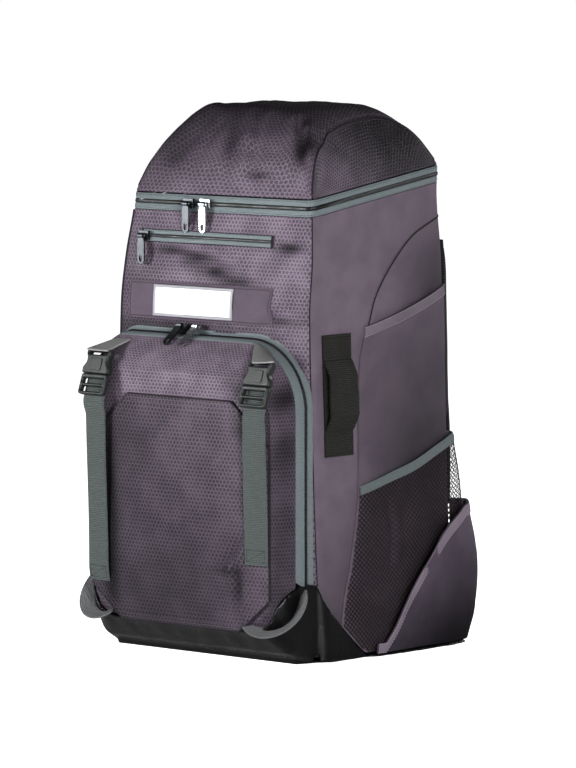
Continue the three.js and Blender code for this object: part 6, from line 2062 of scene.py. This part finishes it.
    def bat_strap(self) -> None:
        """The black webbing sewn flat to the side, with a second layer raised into a loop."""
        word = self.side.word
        half = self.strap_width / 2 / BODY.depth
        us = lines(self.strap_at - half, self.strap_at + half, 14, 0.03)
        flat = SheetMesh.over(self.body_at, us, lines(self.strap_low, self.strap_high, 50))
        made = lay(f"bat_strap_{word}_webbing", flat, WALLS.gap, WALLS.gap + WALLS.webbing, hem=0.5)
        DRESSER.dress(made, BLACK_WEBBING, [f"bat_strap_{word}"])
        low, high = self.strap_low + self.loop_margin, self.strap_high - self.loop_margin
        loop = SheetMesh.over(self.body_at, us, lines(low, high, 50))
        t = (loop.up - low) / (high - low)
        rise = WALLS.gap + WALLS.webbing / 2 + self.loop_rise * np.minimum(np.sin(math.pi * t) * 1.6, 1)
        rise = rise + 0.5 * ripple(loop.across * 200, loop.up, 30, 77) * np.sin(math.pi * t)
        DRESSER.dress(lay(f"bat_loop_{word}_webbing", loop, rise, rise + WALLS.webbing, hem=0.5), BLACK_WEBBING)
        rows = []
        for z in (low + 3, low + 6.5, high - 3, high - 6.5, self.strap_low + 3, self.strap_high - 3):
            a = np.linspace(us[0] + 0.01, us[-1] - 0.01, 30)
            over = 0.6 if z in (self.strap_low + 3, self.strap_high - 3) else 2.0
            line = self.body_at(a, np.full(30, z))
            line = line + np.array([self.side.value, 0, 0]) * (WALLS.gap + WALLS.webbing + over - 0.55)
            rows.append((line, np.array([self.side.value, 0.0, 0.0])))
        DRESSER.dress(stitch_row(f"bat_strap_{word}_stitches", rows, 2.6, 1.9, 0.5, 0.5), THREAD_DARK)

    def upper_seam(self) -> Grid:
        """The side's curved seam from the sleeve's hem up to the back corner."""
        along = np.linspace(0.385, 0.99, 80)
        z = np.where(along < 0.41, mix(304, 315, (along - 0.385) / 0.025), self.seam_above.read(along, 1))
        return self.body_at(along, z)


@dataclass
class BackPanel:
    """The padded back, the shoulder straps with their webbing and locks, and the haul handle."""

    pad_low: float = 30
    strap_path: Table = Table((
        (0.0, 0.9637, 0.06, 0.36), (0.06, 0.9613, 0.9, 0.36), (0.13, 0.9393, 1.65, 0.37), (0.25, 0.8661, 2.05, 0.4),
        (0.5, 0.6831, 2.5, 0.5), (0.75, 0.488, 2.35, 0.6), (1.0, 0.305, 1.9, 0.65)))
    webbing_path: Table = Table((
        (0.0, 0.2867, 1.75, 0.66), (0.4, 0.1586, 1.55, 0.72), (0.75, 0.0756, 1.3, 0.76), (0.9, 0.0561, 0.8, 0.77),
        (1.0, 0.0537, 0.06, 0.77)))
    strap_thick: float = 10
    top_width: float = 68
    foot_width: float = 54
    webbing_width: float = 25.4
    handle_reach: float = 84
    handle_bow: float = 25
    handle_width: float = 20
    handle_wall: float = 2.6

    def pad_point(self, u: Grid, z: Grid) -> Grid:
        """The back's surface under the pad, wider above the net pockets."""
        net_top = 0.478 * BODY.zip_height
        width = mix(0.93, 0.985, smooth(z, net_top, net_top + 27))
        return BODY.plain(3 + u * width, z)

    def pad(self) -> None:
        """The pad: full between its edges, with two sewn channels down it and three across."""
        high = BODY.zip_height - 38
        grid = SheetMesh.over(self.pad_point, lines(-1, 1, 110, 0.006), lines(self.pad_low, high, 150, 0.004))
        u, v = grid.across, (grid.up - self.pad_low) / (high - self.pad_low)
        full = (1 - 0.5 * np.abs(u) ** 8) * (1 - 0.4 * np.abs(2 * v - 1) ** 12)
        edge = np.minimum(smooth(1 - np.abs(u), 0, 0.06), smooth(0.5 - np.abs(v - 0.5), 0, 0.025))
        full = full * mix(0.35, 1, edge)
        for at in (-0.42, 0.42):
            full = full - 0.62 * np.exp(-((u - at) / 0.035) ** 2) * smooth(1 - np.abs(2 * v - 1), 0.04, 0.1)
        for at in (0.28, 0.52, 0.76):
            full = full - 0.45 * np.exp(-((v - at) / 0.014) ** 2) * (1 - smooth(np.abs(u), 0.38, 0.44))
        full = full + 0.03 * ripple(u * 110, grid.up, 40, 81)
        pad = lay("back_pad_mesh", grid, 2 * WALLS.gap, WALLS.gap + WALLS.pad * np.clip(full, 0.25, 1.0))
        DRESSER.dress(pad, SPACER, ["back_pad"])

    def path_point(self, path: Table, side: Side, along: Grid) -> Grid:
        """A place on a path down the back: its height, distance from the back and distance from the middle."""
        z = path.read(along, 1) * BODY.zip_height
        back = BODY.section(np.minimum(z, BODY.zip_height))[2]
        return points(side.value * path.read(along, 3) * BODY.width / 2, back + path.read(along, 2) * WALLS.pad, z)

    def strap(self, side: Side) -> None:
        """One padded shoulder strap with its bound edge and a webbing down its middle, and its lower webbing."""
        word = side.word

        def surface(u: Grid, v: Grid) -> Grid:
            """The strap's middle layer."""
            middle = self.path_point(self.strap_path, side, v)
            width = mix(self.top_width, self.foot_width, v)
            return middle + points(u * width / 2, 0, 0)

        us = np.unique(np.concatenate([lines(-1, 1, 44, 0.01), [-0.86, -0.82, 0.82, 0.86]]))
        vs = np.unique(np.concatenate([np.linspace(0, 0.16, 26), np.linspace(0.16, 1, 90), [0.996]]))
        behind = np.array([0, 60, 200.0])
        grid = SheetMesh.over(surface, us, vs, centre=behind)
        u = grid.across
        full = (1 - 0.5 * np.abs(u) ** 6) * mix(0.4, 1, smooth(1 - np.abs(u), 0, 0.16))
        full = full * mix(0.5, 1, smooth(1 - grid.up, 0, 0.03)) - 0.16 * np.exp(-((np.abs(u) - 0.8) / 0.03) ** 2)
        half = self.strap_thick / 2 * np.clip(full, 0.12, 1)
        made = lay(f"shoulder_strap_{word}_mesh", grid, -half, half)
        DRESSER.dress(made, SPACER, [f"shoulder_strap_{word}"])
        keep = lines(0.16, 0.985, 60)
        face = SheetMesh.over(lambda a, b: surface(a * self.webbing_width / self.top_width, b), lines(-1, 1, 8, 0.04),
                              keep, centre=behind)
        DRESSER.dress(lay(f"strap_face_{word}_webbing", face, self.strap_thick / 2 - 0.1,
                          self.strap_thick / 2 + 1.0, hem=0.4), BLACK_WEBBING)
        tail = lambda a, b: self.path_point(self.webbing_path, side, b) + points(a * self.webbing_width / 2, 0, 0)
        low = SheetMesh.over(tail, lines(-1, 1, 8, 0.04), lines(0, 1, 70), centre=behind)
        DRESSER.dress(lay(f"strap_tail_{word}_webbing", low, -WALLS.webbing / 2, WALLS.webbing / 2, hem=0.4),
                      BLACK_WEBBING, [f"strap_webbing_{word}"])
        self.lock(side)

    def lock(self, side: Side) -> None:
        """The ladder lock at the strap's foot: a plate with rounded edges and two slots."""
        word, width, height, wall = side.word, 32.0, 20.0, 6.0
        foot = self.path_point(self.strap_path, side, np.array(1.0))
        y = float(self.path_point(self.webbing_path, side, np.array(0.0))[1]) + WALLS.webbing / 2 + wall / 2 + 0.8
        origin = np.array([foot[0], y, foot[2] - height - WALLS.gap])
        slot = self.webbing_width + 0.8
        holes = [rounded_box(slot, 0.27 * height, 1.2, middle=(0, at * height)) for at in (0.285, 0.715)]
        outline = rounded_box(width, height, 2.4, middle=(0, height / 2))
        axes = np.array([[-1.0, 0, 0], [0, 0, 1], [0, 1, 0]])
        DRESSER.dress(plate_mesh(f"ladder_lock_{word}_body", outline, holes, wall, 1.3, axes, origin), BUCKLE,
                      [f"ladder_lock_{word}"])

    def handle(self) -> None:
        """The haul handle: a webbing bow, folded double and rounder in its middle."""
        z_mid = BODY.zip_height + 19

        def surface(u: Grid, v: Grid) -> Grid:
            """A bow behind the back: out by 1 - |u|^3, its width drawn in round the grip."""
            bow = 1 - np.abs(u) ** 3
            back = BODY.section(np.full(np.shape(u), z_mid))[2]
            narrow = mix(1.0, 0.86, 1 - smooth(np.abs(u), 0.45, 0.7))
            return points(u * self.handle_reach / 2, back + WALLS.gap + self.handle_bow * bow,
                          z_mid + v * narrow * self.handle_width / 2)

        grid = SheetMesh.over(surface, lines(-1, 1, 80), lines(-1, 1, 12, 0.04), centre=np.array([0, 0, z_mid]))
        grip = 1 - smooth(np.abs(grid.across), 0.45, 0.7)
        made = lay("haul_handle_webbing", grid, 0, self.handle_wall + 0.9 * grip * (1 - grid.up ** 2), hem=0.6)
        DRESSER.dress(made, BLACK_WEBBING, ["haul_handle"])

    def build(self) -> None:
        """Makes the pad, both straps and the handle."""
        self.pad()
        for side in Side:
            self.strap(side)
        self.handle()


@dataclass
class ZipPulls:
    """The five sliders and pulls, which keep their CAD solids and take their metals."""

    metals: tuple[Finish, ...] = ()

    def build(self, nodes: dict[str, bpy.types.Object]) -> None:
        """Gives each slider and pull its metal.

        Args:
            nodes: the frame's nodes by name.
        """
        for index, metal in enumerate(self.metals, start=1):
            for part in ("slider", "pull"):
                node = nodes[f"{part}_{index}"]
                for slot in node.material_slots:
                    slot.material = metal.material
                LOG.info("%s: %s", node.name, metal.name)


# ---------------------------------------------------------------- the studio


@dataclass(frozen=True)
class SoftBox:
    """A soft light: where it stands, what it looks at, its size and its strength."""

    name: str
    place: tuple[float, float, float]
    aim: tuple[float, float, float]
    size: float
    power: float
    tall: float = 1.0


@dataclass
class Studio:
    """The camera at the photograph's angle, a pale floor, a white surround and the soft lights."""

    azimuth: float = 40.0
    distance: float = 5.076
    height: float = 0.731
    target: tuple[float, float, float] = (-0.0063, -0.0053, 0.2457)
    lens: float = 249.5
    ambient: float = 0.26
    floor_glow: float = 1.0
    contrast: float = 0.84
    lights: tuple[SoftBox, ...] = (
        SoftBox("key_softbox", (-1.2, -2.0, 0.7), (0, 0, 0.28), 0.7, 56),
        SoftBox("right_softbox", (2.4, -1.5, 0.6), (0, 0, 0.26), 0.9, 68),
        SoftBox("back_softbox", (0.5, 2.3, 0.9), (0, 0, 0.3), 0.9, 26),
    )

    def aim(self, made: bpy.types.Object, place: Sequence[float], target: Sequence[float]) -> None:
        """Stands an object at a place, looking at another."""
        made.location = place
        way = Vector(target) - Vector(place)
        made.rotation_euler = way.to_track_quat("-Z", "Y").to_euler()

    def camera(self) -> None:
        """Makes the camera."""
        data = bpy.data.cameras.new("camera")
        data.lens, data.sensor_width, data.sensor_fit = self.lens, 36, "AUTO"
        data.clip_start, data.clip_end = 0.5, 30
        made = bpy.data.objects.new("camera", data)
        bpy.context.scene.collection.objects.link(made)
        turn = math.radians(self.azimuth)
        place = (self.target[0] + self.distance * math.sin(turn), self.target[1] - self.distance * math.cos(turn),
                 self.height)
        self.aim(made, place, self.target)
        bpy.context.scene.camera = made

    def build(self) -> None:
        """Makes the floor, the surround and the lights."""
        scene = bpy.context.scene
        scene.view_settings.view_transform = "Standard"
        scene.view_settings.gamma = self.contrast
        world = bpy.data.worlds.new("white surround")
        world.use_nodes = True
        scene.world = world
        back = world.node_tree.nodes["Background"]
        back.inputs[0].default_value = (1, 1, 1, 1)
        tree = world.node_tree
        way = add(tree, "ShaderNodeTexCoord").outputs["Generated"]
        rise = add(tree, "ShaderNodeSeparateXYZ", {0: way}).outputs[2]
        tree.links.new(ramp(tree, rise, 0.1, 0.6, self.ambient, 0.03), back.inputs[1])
        path = add(tree, "ShaderNodeLightPath")
        seen = add(tree, "ShaderNodeBackground", {"Color": (1, 1, 1, 1), "Strength": 1.0})
        both = add(tree, "ShaderNodeMixShader", {0: path.outputs["Is Camera Ray"], 1: back.outputs[0],
                                                 2: seen.outputs[0]})
        tree.links.new(both.outputs[0], tree.nodes["World Output"].inputs[0])
        for box in self.lights:
            data = bpy.data.lights.new(box.name, "AREA")
            data.shape, data.size, data.size_y, data.energy = "RECTANGLE", box.size, box.size * box.tall, box.power
            made = bpy.data.objects.new(box.name, data)
            scene.collection.objects.link(made)
            self.aim(made, box.place, box.aim)
        self.floor()

    def floor(self) -> None:
        """A wide pale floor."""
        size = 6.0
        verts = np.array([[-size, -size, 0], [size, -size, 0], [size, size, 0], [-size, size, 0]]) / MM
        made = put_mesh("floor", verts, np.array([[0, 1, 2, 3]]))
        card = FLOOR.material
        tree = card.node_tree
        shader = tree.nodes["Principled BSDF"]
        shader.inputs["Emission Color"].default_value = (1, 1, 1, 1)
        seen = add(tree, "ShaderNodeLightPath").outputs["Is Camera Ray"]
        tree.links.new(calc(tree, "MULTIPLY", seen, self.floor_glow), shader.inputs["Emission Strength"])
        made.data.materials.append(card)


def main() -> None:
    """Builds the bag on its frame."""
    logging.basicConfig(level=logging.INFO, format="%(message)s")
    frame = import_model()
    studio = Studio()
    studio.camera()
    body = SewnBody()
    body.build()
    body.seams()
    DomedLid().build()
    LidZip().build()
    FrontPocket().build()
    CoatedBoot().build(frame["nodes"]["base_boot"])
    FrontPanelDetails().build()
    HelmetFlap().build()
    for side in Side:
        FlapStrap(side).build()
        SidePieces(side).build()
    BackPanel().build()
    ZipPulls((GUNMETAL, SILVER, GUNMETAL, SILVER, GUNMETAL)).build(frame["nodes"])
    studio.build()
    LOG.info("%d pieces dressed", len(DRESSER.made))
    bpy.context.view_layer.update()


if __name__ == "__main__":
    main()
